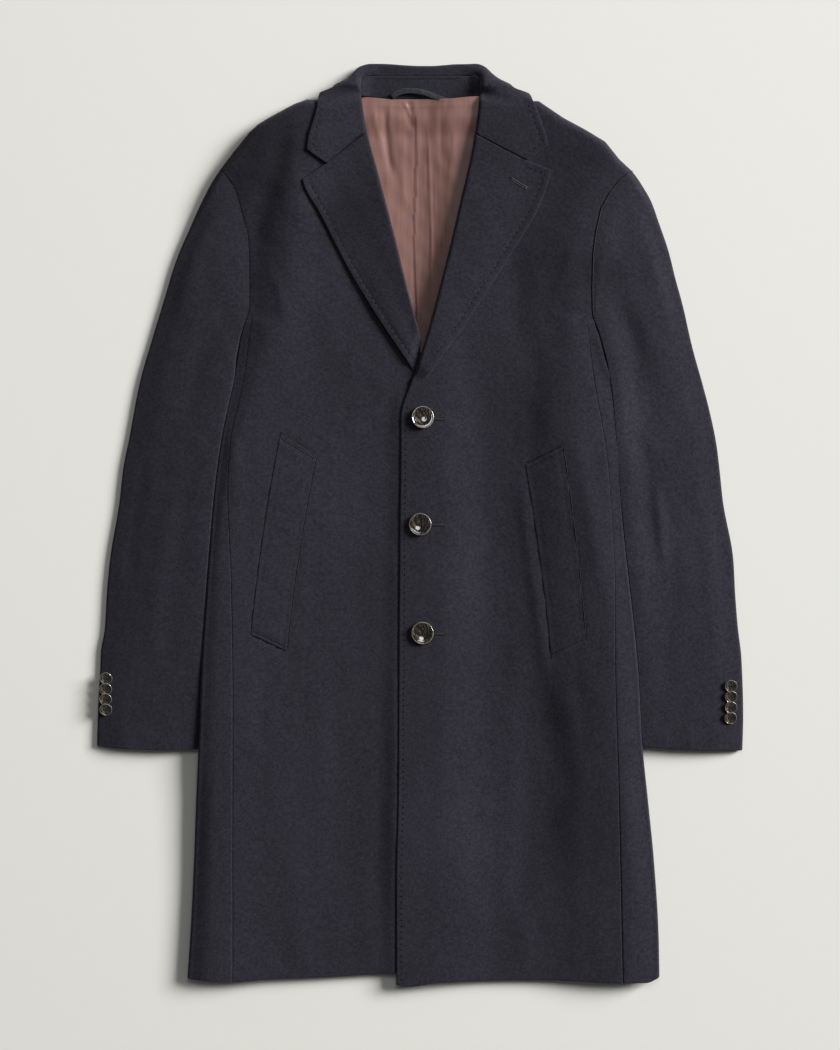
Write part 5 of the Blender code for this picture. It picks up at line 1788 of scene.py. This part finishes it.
@dataclass
class CollarFall:
    """The collar: a leaf on each front, draped over the shoulders and folded under behind the neck."""

    form: DressedForm
    finish: Material
    rows: int = 210
    columns: int = 72
    roll_round: float = 4.0
    groove: float = 0.45

    def leaf_height(self, x: Array, y: Array, side: Side) -> Array:
        """Height of a leaf, which lies on the front and runs a little past the shoulder line.

        Args:
            x: Plan x.
            y: Plan y.
            side: Which leaf.

        Returns:
            The height at each point.
        """
        line = SHOULDER_LINE[side]
        past = np.interp(np.abs(x), [abs(p[0]) for p in line], [p[1] for p in line]) - y
        near = np.clip((past + 5.2) / (self.form.shoulder_round + 5.2), 0.05, 1)
        high = self.form.top(x, y, side is Side.RIGHT)
        base = self.form.shoulder_mid
        down = base + (high - base) * np.sqrt(1 - (1 - near) ** 2)
        return down + self.form.gap + self.form.collar + 0.35 + 0.8 * (1 - near)

    def leaf_rows(self, side: Side) -> list[Array]:
        """Control rows of a leaf, from the inner side of the roll to the leaf's edge.

        Args:
            side: Which leaf.

        Returns:
            The rows, from the notch upward.
        """
        edge, notch = LEAF_EDGE[side], np.array(NOTCH[side], float)
        half = self.form.gap / 2
        low = LAPEL_TO[side] + half
        first = self.form.spot("roll", side, low, up=half)
        near, far = np.linalg.norm(notch - first), np.linalg.norm(np.array(edge[0]) - notch)
        share = near / (near + far)
        chord = first + (np.array(edge[0], float) - first) * share
        rows = []
        for i, y in enumerate((low, *LEAF_ROW_Y[1:])):
            start = self.form.spot("roll", side, y, up=half if i == 0 else 0)
            end = np.array(edge[i], float)
            sag = (notch + (0, half) - chord) * LEAF_BEND[i]
            span = end - start
            width = float(np.linalg.norm(span))
            crest = start + span * self.roll_round / width
            top = float(self.leaf_height(crest[0], crest[1], side))
            row = [(*start, top - drop) for drop in (7.5, 4.2)]
            for angle in np.radians([20, 40, 60, 78]):
                plan = start + span / width * self.roll_round * (1 - math.cos(angle))
                row.append((*plan, top - self.roll_round + self.roll_round * math.sin(angle)))
            for t in np.linspace(self.roll_round / width, 1, 26):
                dip = t / share if t < share else (1 - t) / (1 - share)
                plan = start + span * t + sag * dip
                row.append((*plan, float(self.leaf_height(plan[0], plan[1], side))))
            rows.append(np.array(row))
        return rows

    @cached_property
    def grid(self) -> Array:
        """Points of the collar's outer face, row by row round the neck.

        Returns:
            A grid of points.
        """
        rows = [along(row, self.columns) for row in self.leaf_rows(Side.RIGHT)]
        rows += [rounded_line(row, self.columns) for row in COLLAR_BEND[Side.RIGHT]]
        for x, y, low in COLLAR_BACK:
            rows.append(rounded_line(
                [(x, 507.2, 6.9), (x, y - 6.5, 7.0), (x, y - 3.2, 6.9), (x, y - 0.9, 5.6), (x, y, 3.5),
                 (x, y - 0.9, 1.4), (x, y - 3.2, 0.1), (x, y - 10, 0), (x, y - 26, 0), (x, low, 0)],
                self.columns))
        rows += [rounded_line(row, self.columns) for row in COLLAR_BEND[Side.LEFT][::-1]]
        rows += [along(row, self.columns) for row in self.leaf_rows(Side.LEFT)[::-1]]
        table = Table([(i, *row.ravel()) for i, row in enumerate(rows)])
        places = np.linspace(0, len(rows) - 1, self.rows)
        grid = table.all(places).reshape(self.rows, self.columns, 3)
        grid[..., 2] = np.maximum(grid[..., 2], 0.0)
        share = np.linspace(0, 1, self.columns)[None, :]
        leaf = np.clip((4 - np.minimum(places, len(rows) - 1 - places)) / 4, 0, 1)[:, None]
        wave = 0.25 * np.sin(grid[..., 1] / 8.0 + 0.6) * np.sin(grid[..., 0] / 9.0)
        grid[..., 2] += leaf * (0.7 * np.sin(np.pi * share) + wave * np.sin(np.pi * share))
        for side, edge in LEAF_EDGE.items():
            gap = segment_distance(grid[..., 0].ravel(), grid[..., 1].ravel(), [NOTCH[side], *edge])[0]
            grid[..., 2] += leaf * swelled_edge(gap, self.groove).reshape(grid.shape[:2])
        return grid

    def build(self) -> None:
        """Makes the collar."""
        grid = self.grid
        free = self.form.collar / 2
        bulge = (free * 0.7, free * 0.7, 0.12, free)
        shell = ClothShell("collar", grid, self.form.collar, bulge, flip=True)
        piece = shell.build(self.finish)


@dataclass
class NeckInside:
    """What shows inside the neck: the stand, the back lining and the hanger loop."""

    form: DressedForm
    wool: Material
    satin: Material
    tape: Material
    stand_thick: float = 2.6
    loop_half: float = 3.2
    loop_thick: float = 1.6

    @cached_property
    def stand_grid(self) -> Array:
        """Points of the collar stand's outer face, lying open across the back of the neck.

        Returns:
            A grid of points.
        """
        height = Table(STAND_Z)
        grid = []
        for share in np.linspace(0, 1, 14):
            row = []
            wide = float(np.interp(share, [0, 0.5, 0.72, 0.88, 1.0], [6.8, 6.4, 5.4, 3.0, 0.4]))
            for x in np.linspace(-61 - wide, 62.5 + wide, 72):
                low = float(self.form.neck_y(x)) + 0.2
                y = low + (STAND_TOP - 0.42 * float(ease((abs(x) - 48) / 12)) - low) * share
                puff = 0.35 * math.sin(math.pi * share) + 0.1 * math.sin(x / 6.0 + 2 * share)
                row.append((x, y, float(height(x)) + puff))
            grid.append(row)
        return np.array(grid)

    def build_stand(self) -> None:
        """Makes the collar stand."""
        grid = self.stand_grid
        shell = ClothShell("collar_stand", grid, self.stand_thick, (0.3, 0.1, 0.2, 0.2))
        piece = shell.build(self.wool)

    def lining_lift(self, x: Array, y: Array) -> Array:
        """The centre pleat, the soft troughs and the small creases of the lining.

        Args:
            x: Plan x.
            y: Plan y.

        Returns:
            A lift at each point.
        """
        pleat = np.interp(y, [240, 311, 351, 391, 472], [-3.8, -6.8, -6.3, -4.9, -3.8])
        past = x - pleat
        lift = 0.9 * np.clip(1 - past / 34, 0, 1) * (past > 0) * ease((472 - y) / 24)
        creases = (
            Fold(((-39, 474), (-39, 450), (-36, 420), (-30, 390)), -1.7, 4.2),
            Fold(((-11, 482), (-12, 464), (-9, 444)), -1.3, 4.0),
            Fold(((9, 453), (11, 400), (13, 330), (13, 262)), 0.75, 1.3),
            Fold(((-19, 479), (-14, 470), (-10, 458)), 0.8, 1.8),
            Fold(((26, 474), (24, 440), (26, 400)), -0.7, 4.5),
            Fold(((-18, 446), (-20, 400), (-16, 350)), 0.7, 4.5),
            Fold(((40, 450), (37, 420), (32, 380)), 0.6, 4.0),
            Fold(((-52, 470), (-50, 452), (-44, 430)), 0.6, 3.0),
            Fold(((-60, 474), (-20, 472), (20, 472), (62, 474)), 0.35, 1.6),
        )
        lift = with_folds(lift, creases, x, y)
        return lift + 0.13 * np.sin(x / 3.3 + y / 14.0) * np.sin(y / 6.5 - x / 21.0)

    def build_lining(self) -> None:
        """Makes the lining of the back that shows in the neck opening and runs in under the fronts."""
        form = self.form
        grid = []
        for y in np.concatenate([np.linspace(104, 300, 50), np.linspace(302, 480.2, 110)]):
            under = 34 - 31 * float(ease((y - 380) / 90))
            start = float(form.read("roll", Side.RIGHT, y)) - under
            end = float(form.read("roll", Side.LEFT, y)) + under
            x = np.linspace(start, end, 96)
            low = y + (form.neck_y(x) - 480.3) * float(ease((y - 440) / 39))
            clear = 1.1 * float(ease((y - 400) / 30))
            z = form.underside(x, low) + form.cloth + form.gap + form.lining + clear
            inside = np.clip(np.minimum(x - start, end - x) / 16, 0, 1)
            open_neck = ease((y - 170) / 60)
            at_neck = float(ease((y - 420) / 30))
            swell = 5.5 * ease((x + 4) / 44) * (inside * (1 - at_neck) + at_neck)
            z = z + ((self.lining_lift(x, low) * 0.9 + 0.25) * inside + swell) * open_neck
            grid.append(np.column_stack([x, low, z]))
        grid_array = np.array(grid)
        shell = ClothShell("back_lining", grid_array, form.lining, (0.2, 0.2, 0.2, 0.2), turns=2)
        piece = shell.build(self.satin, Slot.LINING)

    def build_loop(self) -> None:
        """Makes the hanger loop: a narrow tape, sewn down at both ends and arched between."""
        path = [(-32.0, 482.8, 9.6), (-26, 486.4, 10.4), (-18, 488.9, 11.2), (-7, 489.2, 11.8),
                (5.6, 486.9, 11.8), (16.9, 482.6, 11.6), (25.9, 479.2, 11.6), (32.0, 477.2, 11.4)]
        middle, half = rounded_line(path, 60), self.loop_half
        grid = []
        for point, (dx, dy) in zip(middle, unit(np.gradient(middle, axis=0)[:, :2])):
            grid.append([(point[0] - dy * s, point[1] + dx * s, point[2] + 0.45 * (1 - (s / half) ** 2))
                         for s in np.linspace(half, -half, 9)])
        grid_array = np.array(grid)
        shell = ClothShell("hanger_loop", grid_array, self.loop_thick, (0.6, 0.6, 0.8, 0.8))
        piece = shell.build(self.tape)

    def build(self) -> None:
        """Makes all three."""
        self.build_lining()
        self.build_stand()
        self.build_loop()


# ---- welts, buttons and sewing
# Each pocket welt: its outer top corner, inner top, inner bottom and outer bottom, and how far it bows.
WELTS = {
    Side.RIGHT: ((-156.2, 103.3), (-115.7, 78.6), (-149.7, -141.7), (-189.4, -122.7), 3.0),
    Side.LEFT: ((160.0, 88.4), (118.5, 68.5), (147.9, -150.3), (186.0, -132.2), 2.0),
}
# The front buttons' middles in plan, how each leans about X and Y and is turned, and half the distance
# between the dark lines of its buttonhole.
FRONT_BUTTONS = ((3, 121), (0.5, 1), (3, -121))
FRONT_TURNS = ((-4.0, 4.5, 8.0), (-2.0, -4.5, -14.0), (0.5, -1.5, 20.0))
BUTTONHOLE_APART = (2.5, 1.4, 1.9)
CUFF_BUTTONS = {Side.RIGHT: ((-353.6, -172), (-354, -184), (-354, -195.5), (-353.8, -207)),
                Side.LEFT: ((350, -180.5), (350, -192.5), (350, -204.5), (349.5, -216.5))}
CUFF_TURNS = (5.0, 38.0, -12.0, 22.0)
# The height that the buttons' section is drawn at.
SECTION_TALL = 4.1


@dataclass
class PocketWelt:
    """A slanting pocket welt, sewn down at both short ends."""

    side: Side
    form: DressedForm
    finish: Material
    thick: float = 2.8

    def place(self, t: Array | float, s: Array | float) -> tuple[Array, Array]:
        """Plan place on the welt.

        Args:
            t: From the top end, nought, to the bottom end, one.
            s: From the outer edge, nought, to the inner edge, one.

        Returns:
            x and y.
        """
        *corners, bow = WELTS[self.side]
        a, b, c, d = np.array(corners, float)
        bow = bow * self.side.value
        x = (a[0] + (d[0] - a[0]) * t) * (1 - s) + (b[0] + (c[0] - b[0]) * t) * s + bow * 4 * t * (1 - t)
        y = (a[1] + (d[1] - a[1]) * t) * (1 - s) + (b[1] + (c[1] - b[1]) * t) * s
        return x, y

    @cached_property
    def grid(self) -> Array:
        """Points of the welt's outer face.

        Returns:
            A grid of points.
        """
        t, s = np.meshgrid(np.concatenate([[0, .004, .009], np.linspace(.02, .98, 90), [.991, .996, 1]]),
                           np.concatenate([[0, .015, .035], np.linspace(.08, .92, 20), [.965, .985, 1]]),
                           indexing="ij")
        x, y = self.place(t, s)
        plump = 0.5 * np.sin(np.pi * s) ** 0.7 * np.sin(np.pi * t) ** 0.3
        ends = np.exp(-((np.minimum(t, 1 - t) * 222 - 5.0) / 1.4) ** 2)
        edge = np.exp(-((np.minimum(s, 1 - s) * 44 - 5.2) / 1.5) ** 2)
        lift = plump - 0.55 * ends - 0.3 * edge + 0.12 * np.sin(y / 5.0 + x / 9.0)
        front = self.form.top(x, y, self.side is Side.RIGHT)
        return np.dstack([x, y, front + self.thick - self.side.pick(2.05, 2.3) + lift])

    def build(self) -> None:
        """Makes the welt."""
        name = "pocket_welt_" + self.side.hand
        grid = self.grid
        shell = ClothShell(name, grid, self.thick, (1.0, 1.0, 1.3, 0.8),
                           flip=self.side is Side.RIGHT, turns=6)
        piece = shell.build(self.finish)
        self.side.pick("front_under", "front_upper")


@dataclass
class HornButton:
    """A four-hole button with a dished face and a raised rim."""

    radius: float
    tall: float
    finish: Material
    around: int = 72

    def section(self) -> list[Point]:
        """The section, from the middle of the face round to the middle of the back.

        Returns:
            Its points, as radius and height.
        """
        shape = [(0.0, 1.9), (0.15, 1.95), (0.30, 2.1), (0.42, 2.36), (0.54, 2.72), (0.64, 3.1),
                 (0.72, 3.46), (0.80, 3.66), (0.84, 3.62), (0.87, 3.7), (0.90, 3.98), (0.93, 4.1),
                 (0.96, 4.02), (0.985, 3.6), (1.0, 2.9), (0.99, 2.4), (0.96, 1.8), (0.88, 1.1),
                 (0.75, 0.45), (0.60, 0.08), (0.45, 0.0), (0.0, 0.0)]
        return [(share * self.radius, z * self.tall / SECTION_TALL) for share, z in shape]

    def build(self, name: str, center: Array, turns: Spot) -> Piece:
        """Makes the button.

        Args:
            name: Name of the piece.
            center: Middle of its back, in millimetres.
            turns: Its lean about X and about Y and its turn about its own axis, in degrees.

        Returns:
            The button.
        """
        section = self.section()
        rings = section[1:-1]
        angle = np.arange(self.around) * 2 * np.pi / self.around
        points = [(0, 0, section[0][1])]
        for radius, z in rings:
            points += [(radius * math.cos(a), radius * math.sin(a), z) for a in angle]
        points.append((0, 0, 0))
        n = self.around
        faces = [(0, 1 + k, 1 + (k + 1) % n) for k in range(n)]
        for ring in range(len(rings) - 1):
            start = 1 + ring * n
            faces += [(start + k, start + n + k, start + n + (k + 1) % n, start + (k + 1) % n)
                      for k in range(n)]
        last, start = len(points) - 1, 1 + (len(rings) - 1) * n
        faces += [(last, start + (k + 1) % n, start + k) for k in range(n)]
        made = make_mesh(name, np.array(points), faces, self.finish, origin=center)
        made.rotation_mode = "ZYX"
        made.rotation_euler = [math.radians(turn) for turn in turns]
        bpy.context.view_layer.update()
        return made


@dataclass
class Buttons:
    """The three front buttons and the four at each cuff, sewn on through four holes."""

    form: DressedForm
    finishes: Finishes
    sleeves: dict[Side, Array]
    front_across: float = FRONT_ACROSS
    front_tall: float = 4.1
    cuff_across: float = CUFF_ACROSS
    cuff_tall: float = 2.8
    cuff_tilt: float = 15.5
    hole: float = 1.35
    hole_apart: float = 0.23
    front_bed: float = 8.0
    cuff_bed: float = 6.0

    def sewing(self, name: str, center: Array, button: HornButton, turns: Spot) -> None:
        """Makes the four holes of a button, as black plugs of painted shade, and the thread that crosses
        between them.

        Args:
            name: Name that the pieces begin with.
            center: Middle of the button's back.
            button: The kind of button.
            turns: Its lean about X and about Y and its turn about its own axis, in degrees.
        """
        scale = button.radius * 2 / FRONT_ACROSS
        apart = button.radius * self.hole_apart
        face = button.tall / 2
        matrix = np.array(Euler([math.radians(turn) for turn in turns], "ZYX").to_matrix())
        holes, threads = TubeSet(name + "_holes"), TubeSet(name + "_thread")
        corners = [(apart, apart), (-apart, apart), (-apart, -apart), (apart, -apart)]

        def placed(x: float, y: float, z: float) -> Array:
            """A point of the button's own space, in the coat's."""
            return center + matrix @ (x, y, z)

        # Painted shade: black plugs where the holes go through.
        for x, y in corners:
            holes.add([placed(x, y, face - 0.5), placed(x, y, face + 0.06)], self.hole * scale)
        for shift in (-0.28, 0.28):
            for (ax, ay), (bx, by) in ((corners[0], corners[3]), (corners[1], corners[2])):
                sx = shift * scale
                threads.add([placed(ax + sx, ay, face - 0.2), placed(ax + sx, ay * 0.75, face + 0.35),
                             placed(ax + sx, 0, face + 0.5), placed(bx + sx, by * 0.75, face + 0.35),
                             placed(bx + sx, by, face - 0.2)], 0.3 * scale + 0.08)
        holes.build(self.finishes.painted_shade_finish)
        threads.build(self.finishes.button_thread)

    def build(self) -> None:
        """Makes every button with its sewing."""
        front = HornButton(self.front_across / 2, self.front_tall, self.finishes.front_horn)
        steps = (-self.front_bed, 0, self.front_bed)
        for i, (x, y) in enumerate(FRONT_BUTTONS):
            around = [(x + dx, y + dy) for dx in steps for dy in steps]
            high = max(float(self.form.top(a, b)) for a, b in around) - 0.3
            center = np.array([x, y, high + 0.15 + self.form.gap])
            name = f"front_button_{i + 1}"
            dress(front.build(name + "_horn", center, FRONT_TURNS[i]), Slot.HORN, name)
            self.sewing(name, center, front, FRONT_TURNS[i])
        cuff = HornButton(self.cuff_across / 2, self.cuff_tall, self.finishes.cuff_horn, around=48)
        for side, places in CUFF_BUTTONS.items():
            for i, (x, y) in enumerate(places):
                grid = self.sleeves[side].reshape(-1, 3)
                near = np.hypot(grid[:, 0] - x, grid[:, 1] - y) < self.cuff_bed
                center = np.array([x, y, float(grid[near, 2].max()) + 1.0])
                name = f"cuff_button_{side.hand}_{i + 1}"
                turns = (self.cuff_tilt, side.pick(3.0, 5.0), CUFF_TURNS[i])
                dress(cuff.build(name + "_horn", center, turns), Slot.HORN, name)
                self.sewing(name, center, cuff, turns)


@dataclass
class TubeSet:
    """Many short round lengths of thread, made as one piece."""

    name: str
    sides: int = 6
    points: list[Array] = field(default_factory=list)
    faces: list[tuple[int, ...]] = field(default_factory=list)
    total: int = 0

    def add(self, path: Line, radius: float, flat: float = 1.0) -> None:
        """Adds one length.

        Args:
            path: Its middle line.
            radius: Its radius.
            flat: Its height as a share of its width.
        """
        path = np.asarray(path, float)
        run = unit(np.gradient(path, axis=0))
        up = np.tile([0.0, 0.0, 1.0], (len(path), 1))
        steep = np.abs(run[:, 2]) > 0.9
        up[steep] = (0.0, 1.0, 0.0)
        wide = unit(np.cross(up, run))
        high = np.cross(run, wide) * flat
        swell = np.ones(len(path))
        if len(path) > 2:
            swell[[0, -1]] = 0.45
        n = self.sides
        for k in range(len(path)):
            angle = np.arange(n) * 2 * np.pi / n
            ring = wide[k] * np.cos(angle)[:, None] + high[k] * np.sin(angle)[:, None]
            self.points.append(path[k] + ring * radius * swell[k])
        for k in range(len(path) - 1):
            a = self.total + k * n
            self.faces += [(a + j, a + (j + 1) % n, a + n + (j + 1) % n, a + n + j) for j in range(n)]
        end = self.total + (len(path) - 1) * n
        self.faces.append(tuple(self.total + j for j in range(n))[::-1])
        self.faces.append(tuple(end + j for j in range(n)))
        self.total += len(path) * n

    def build(self, finish: Material) -> None:
        """Makes the piece and ties it to the coat.

        Args:
            finish: The thread's material.
        """
        made = make_mesh(self.name, np.concatenate(self.points), self.faces, finish)
        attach(made, ROOT)
        log.info("%s: %d faces", self.name, len(self.faces))


def height_on(grid: Array, x: float, y: float) -> float:
    """Height of a piece's outer face at one place, from the nearest points of its grid.

    Args:
        grid: Points of the outer face.
        x: Plan x.
        y: Plan y.

    Returns:
        The height.
    """
    points = grid.reshape(-1, 3)
    gap = np.hypot(points[:, 0] - x, points[:, 1] - y)
    near = np.argsort(gap)[:4]
    share = 1 / (gap[near] + 0.05)
    return float((points[near, 2] * share).sum() / share.sum())


def inset_line(path: Line, inside: float) -> Array:
    """A plan line beside an edge.

    Args:
        path: The edge.
        inside: How far the line lies to the left of the edge's run, or to the right below nought.

    Returns:
        The points of the line.
    """
    line = along(np.asarray(path, float)[:, :2], 80)
    run = unit(np.gradient(line, axis=0))
    return line + inside * np.stack([-run[:, 1], run[:, 0]], axis=1)


def laid_on(grid: Array, line: Array, up: float) -> list[Spot]:
    """The points of a plan line, a little above a piece's outer face."""
    return [(x, y, height_on(grid, x, y) + up) for x, y in line]


@dataclass
class Stitching:
    """The stitches that show: pick stitches along the edges, the welt ends, the neck and the buttonholes,
    with black lines of painted shade along seams and buttonholes.
    """

    finishes: Finishes
    grids: dict[str, Array]
    inset: float = 6.2
    pitch: float = 6.7
    long: float = 2.3
    thread: float = 0.5
    # Radius of the black lines of painted shade, and of the cords of the dark buttonholes.
    cord_and_shade_radius: float = 0.75
    cord: float = 0.48
    bar: float = 0.62
    welt_inset: float = 5.2

    def run(self, threads: TubeSet, grid: Array, line: Array, trim: tuple[float, float] = (4.0, 4.0),
            pitch: float | None = None) -> None:
        """Adds a row of stitches.

        Args:
            threads: The set that takes them.
            grid: Points of the piece's outer face.
            line: The plan line that they follow.
            trim: How much is left free at each end.
            pitch: From one stitch to the next, or the usual one if None.
        """
        step = pitch or self.pitch
        total = line_length(line)
        for at in np.arange(trim[0], total - trim[1], step):
            spots = at_lengths(line, np.linspace(at, at + min(self.long, step * 0.62), 4))
            lift = (-0.1, 0.3, 0.3, -0.1)
            threads.add([(x, y, height_on(grid, x, y) + up) for (x, y), up in zip(spots, lift)], self.thread)

    def edges(self) -> None:
        """Sews the pick stitches along the lapels, the collar leaves and the front's edge."""
        for side in Side:
            lapel, leaf, notch = LAPEL_EDGE[side], LEAF_EDGE[side], NOTCH[side]
            for name, grid, rows in (
                    ("lapel_", self.grids["lapel_" + side.hand],
                     ((lapel, (12.0, 6.5)), ([lapel[-1], notch], (6.5, 2.0)))),
                    ("collar_", self.grids["collar"], (([notch, leaf[0]], (2.0, 6.5)), (leaf, (6.5, 3.0))))):
                threads = TubeSet("pick_stitches_" + name + side.hand)
                for edge, trim in rows:
                    self.run(threads, grid, inset_line(edge, side.value * self.inset), trim)
                threads.build(self.finishes.navy_thread)
        threads = TubeSet("pick_stitches_front")
        edge = [(x, y) for y, x in OVER_EDGE if y < 140]
        self.run(threads, self.grids["front_upper"], inset_line(edge, -5.8), (8.0, 0.0))
        threads.build(self.finishes.navy_thread)

    def armhole(self) -> None:
        """Lays a black line of painted shade along the seam where the upper front meets its sleeve."""
        seam, front = TubeSet("armhole_shade_line_left_hand"), self.grids["front_upper"]
        line = along([(x, y) for y, x in ARM_LINE[Side.LEFT]], 60) + (0.7, 0.0)
        seam.add(laid_on(front, line, 0.25), self.cord_and_shade_radius)
        seam.build(self.finishes.painted_shade_finish)

    def pockets_and_neck(self) -> None:
        """Sews the ends of the welts and the two rows under the collar, and lays black lines of painted shade
        along the welts' seams.
        """
        for side in Side:
            a, b, c, d = np.array(WELTS[side][:4], float)
            threads = TubeSet("welt_stitches_" + side.hand)
            grid = self.grids["pocket_welt_" + side.hand]
            for near, far, way in ((a, b, d - a), (d, c, a - d)):
                shift = way / np.linalg.norm(way) * self.welt_inset
                self.run(threads, grid, along([near + shift, far + shift], 40), (2.5, 2.5), 3.1)
            threads.build(self.finishes.navy_thread)
            # Painted shade: black lines along the seams beside the welt.
            seam = TubeSet("welt_shade_line_" + side.hand)
            front = self.grids[side.pick("front_under", "front_upper")]
            for line in (grid[::4, side.pick(-1, 0), :2] + (0.9, 0), grid[0, ::2, :2] + (0, 0.9)):
                seam.add(laid_on(front, line, 0.45), self.thread)
            seam.build(self.finishes.painted_shade_finish)
        threads = TubeSet("collar_seam_stitches")
        for name, y in (("collar", 510.4), ("collar_stand", 503.9)):
            self.run(threads, self.grids[name], along([(-50, y), (44, y)], 60), (0.0, 0.0), 3.0)
        threads.build(self.finishes.navy_thread)

    def buttonhole(self, name: str, grid: Array, ends: tuple[Point, Point], pale: bool, apart: float) -> None:
        """Makes one buttonhole: corded edges, black lines of painted shade in the slit or outside the cords,
        and a bar at the end.

        Args:
            name: Name that the pieces begin with.
            grid: Points of the piece it is cut in.
            ends: Its inner end and its outer end, with the bar.
            pale: Whether the cords lie apart beside a slit of painted shade, or together within black lines
                of painted shade.
            apart: Half the distance between its two dark lines.
        """
        start, end = (np.array(point, float) for point in ends)
        way = (end - start) / np.linalg.norm(end - start)
        side = np.array([-way[1], way[0]])
        cords, dark = TubeSet(name + "_cord"), TubeSet(name + "_shade_lines")
        cord_at, dark_at = 1.2 if pale else apart - 1.1, apart
        for sign in (-1, 1):
            for gap, owner, up in ((cord_at, cords, 0.16), (dark_at, dark, 0.02)):
                line = along([start + side * gap * sign, end + side * gap * sign], 14)
                owner.add(laid_on(grid, line, up), self.cord if pale else self.cord_and_shade_radius)
        bar = along([end - side * 2.3, end + side * 2.3], 6)
        (cords if pale else dark).add(laid_on(grid, bar, 0.25), self.bar)
        cords.build(self.finishes.slate_thread if pale else self.finishes.cord_thread)
        # Painted shade: the black lines of the slit or beside the cords.
        dark.build(self.finishes.painted_shade_finish)

    def build(self) -> None:
        """Makes all of the sewing."""
        self.edges()
        self.armhole()
        self.pockets_and_neck()
        for i, (x, y) in enumerate(FRONT_BUTTONS):
            self.buttonhole(f"front_buttonhole_{i + 1}", self.grids["front_upper"],
                            ((x + 8.0, y), (27.4, y)), False, BUTTONHOLE_APART[i])
        grid = self.grids["lapel_left_hand"]
        self.buttonhole("lapel_buttonhole", grid, ((101.4, 389.7), (119.3, 378.5)), True, 0.3)


# ---- the setting
@dataclass
class Setting:
    """The floor, the lights and the camera, with lengths in metres, powers in watts and angles in degrees."""

    floor: FloorFinish = field(default_factory=FloorFinish)
    camera_height: float = 3.0
    view_tall: float = 1.187
    film_tall: float = 24.0
    key_power: float = 5970.0
    key_turn: float = 24.0
    key_rise: float = 28.0
    key_far: float = 20.0
    key_wide: float = 8.3
    box_power: float = 13.0
    box_place: Spot = (0.12, 1.15, 3.05)
    box_wide: float = 1.2
    world: float = 0.105
    floor_reach: float = 4.0
    floor_drop: float = 0.0004

    def build_floor(self) -> None:
        """Lays the pale floor that the coat lies on."""
        mesh = bpy.data.meshes.new("floor")
        corners = [(x * self.floor_reach, y * self.floor_reach, -self.floor_drop)
                   for x, y in ((-1, -1), (1, -1), (1, 1), (-1, 1))]
        mesh.from_pydata(corners, [], [(0, 1, 2, 3)])
        mesh.materials.append(self.floor.make())
        made = bpy.data.objects.new("floor", mesh)
        bpy.context.scene.collection.objects.link(made)

    def add_light(self, name: str, place: Spot, power: float, wide: float) -> None:
        """Adds an area light that faces the middle of the coat: a small one is round, a large one square.

        Args:
            name: Its name.
            place: Where it hangs.
            power: Its power.
            wide: Its width.
        """
        data = bpy.data.lights.new(name, "AREA")
        data.energy = power
        data.shape = "DISK" if wide < 2 else "SQUARE"
        data.size = wide
        made = bpy.data.objects.new(name, data)
        made.location = place
        way = -np.array(place)
        flat = math.hypot(way[0], way[1])
        made.rotation_euler = (math.atan2(flat, -way[2]), 0, math.atan2(way[1], way[0]) - math.pi / 2)
        bpy.context.scene.collection.objects.link(made)

    def build_world(self) -> None:
        """Makes the even studio light from all round."""
        world = bpy.data.worlds.new("studio")
        world.use_nodes = True
        light = world.node_tree.nodes["Background"].inputs
        light["Color"].default_value = (0.96, 0.98, 1.0, 1)
        light["Strength"].default_value = self.world
        bpy.context.scene.world = world

    def build_camera(self) -> None:
        """Puts the camera straight above the coat."""
        data = bpy.data.cameras.new("camera")
        data.sensor_fit = "VERTICAL"
        data.sensor_height = self.film_tall
        data.lens = self.film_tall * self.camera_height / self.view_tall
        made = bpy.data.objects.new("camera", data)
        made.location = (0, 0, self.camera_height)
        bpy.context.scene.collection.objects.link(made)
        bpy.context.scene.camera = made

    def build(self) -> None:
        """Makes all of the setting."""
        self.build_floor()
        turn, rise = math.radians(self.key_turn), math.radians(self.key_rise)
        flat = self.key_far * math.cos(rise)
        place = (flat * math.cos(turn), flat * math.sin(turn), self.key_far * math.sin(rise))
        self.add_light("key", place, self.key_power, self.key_wide)
        self.add_light("softbox", self.box_place, self.box_power, self.box_wide)
        self.build_world()
        self.build_camera()
        bpy.context.scene.view_settings.view_transform = "Standard"
        bpy.context.scene.view_settings.look = "Medium High Contrast"


def main() -> None:
    """Builds the coat, piece by piece, in its setting."""
    logging.basicConfig(level=logging.INFO, format="%(name)s: %(message)s")
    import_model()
    finishes = make_finishes()
    form = DressedForm(folds=FRONT_FOLDS)
    body = BodyPanels(form, finishes.wool)
    body.build()
    grids, sleeves = body.grids, {}
    for side in Side:
        sleeve, lapel, welt = (kind(side, form, finishes.wool) for kind in (Sleeve, Lapel, PocketWelt))
        for part in (sleeve, lapel, welt):
            part.build()
        sleeves[side] = sleeve.grids[0]
        grids["lapel_" + side.hand] = lapel.grid
        grids["pocket_welt_" + side.hand] = welt.grid
    collar = CollarFall(form, finishes.wool)
    neck = NeckInside(form, finishes.wool, finishes.satin, finishes.tape)
    collar.build()
    neck.build()
    grids["collar"] = collar.grid
    grids["collar_stand"] = neck.stand_grid
    Buttons(form, finishes, sleeves).build()
    Stitching(finishes, grids).build()
    Setting().build()


if __name__ == "__main__":
    main()
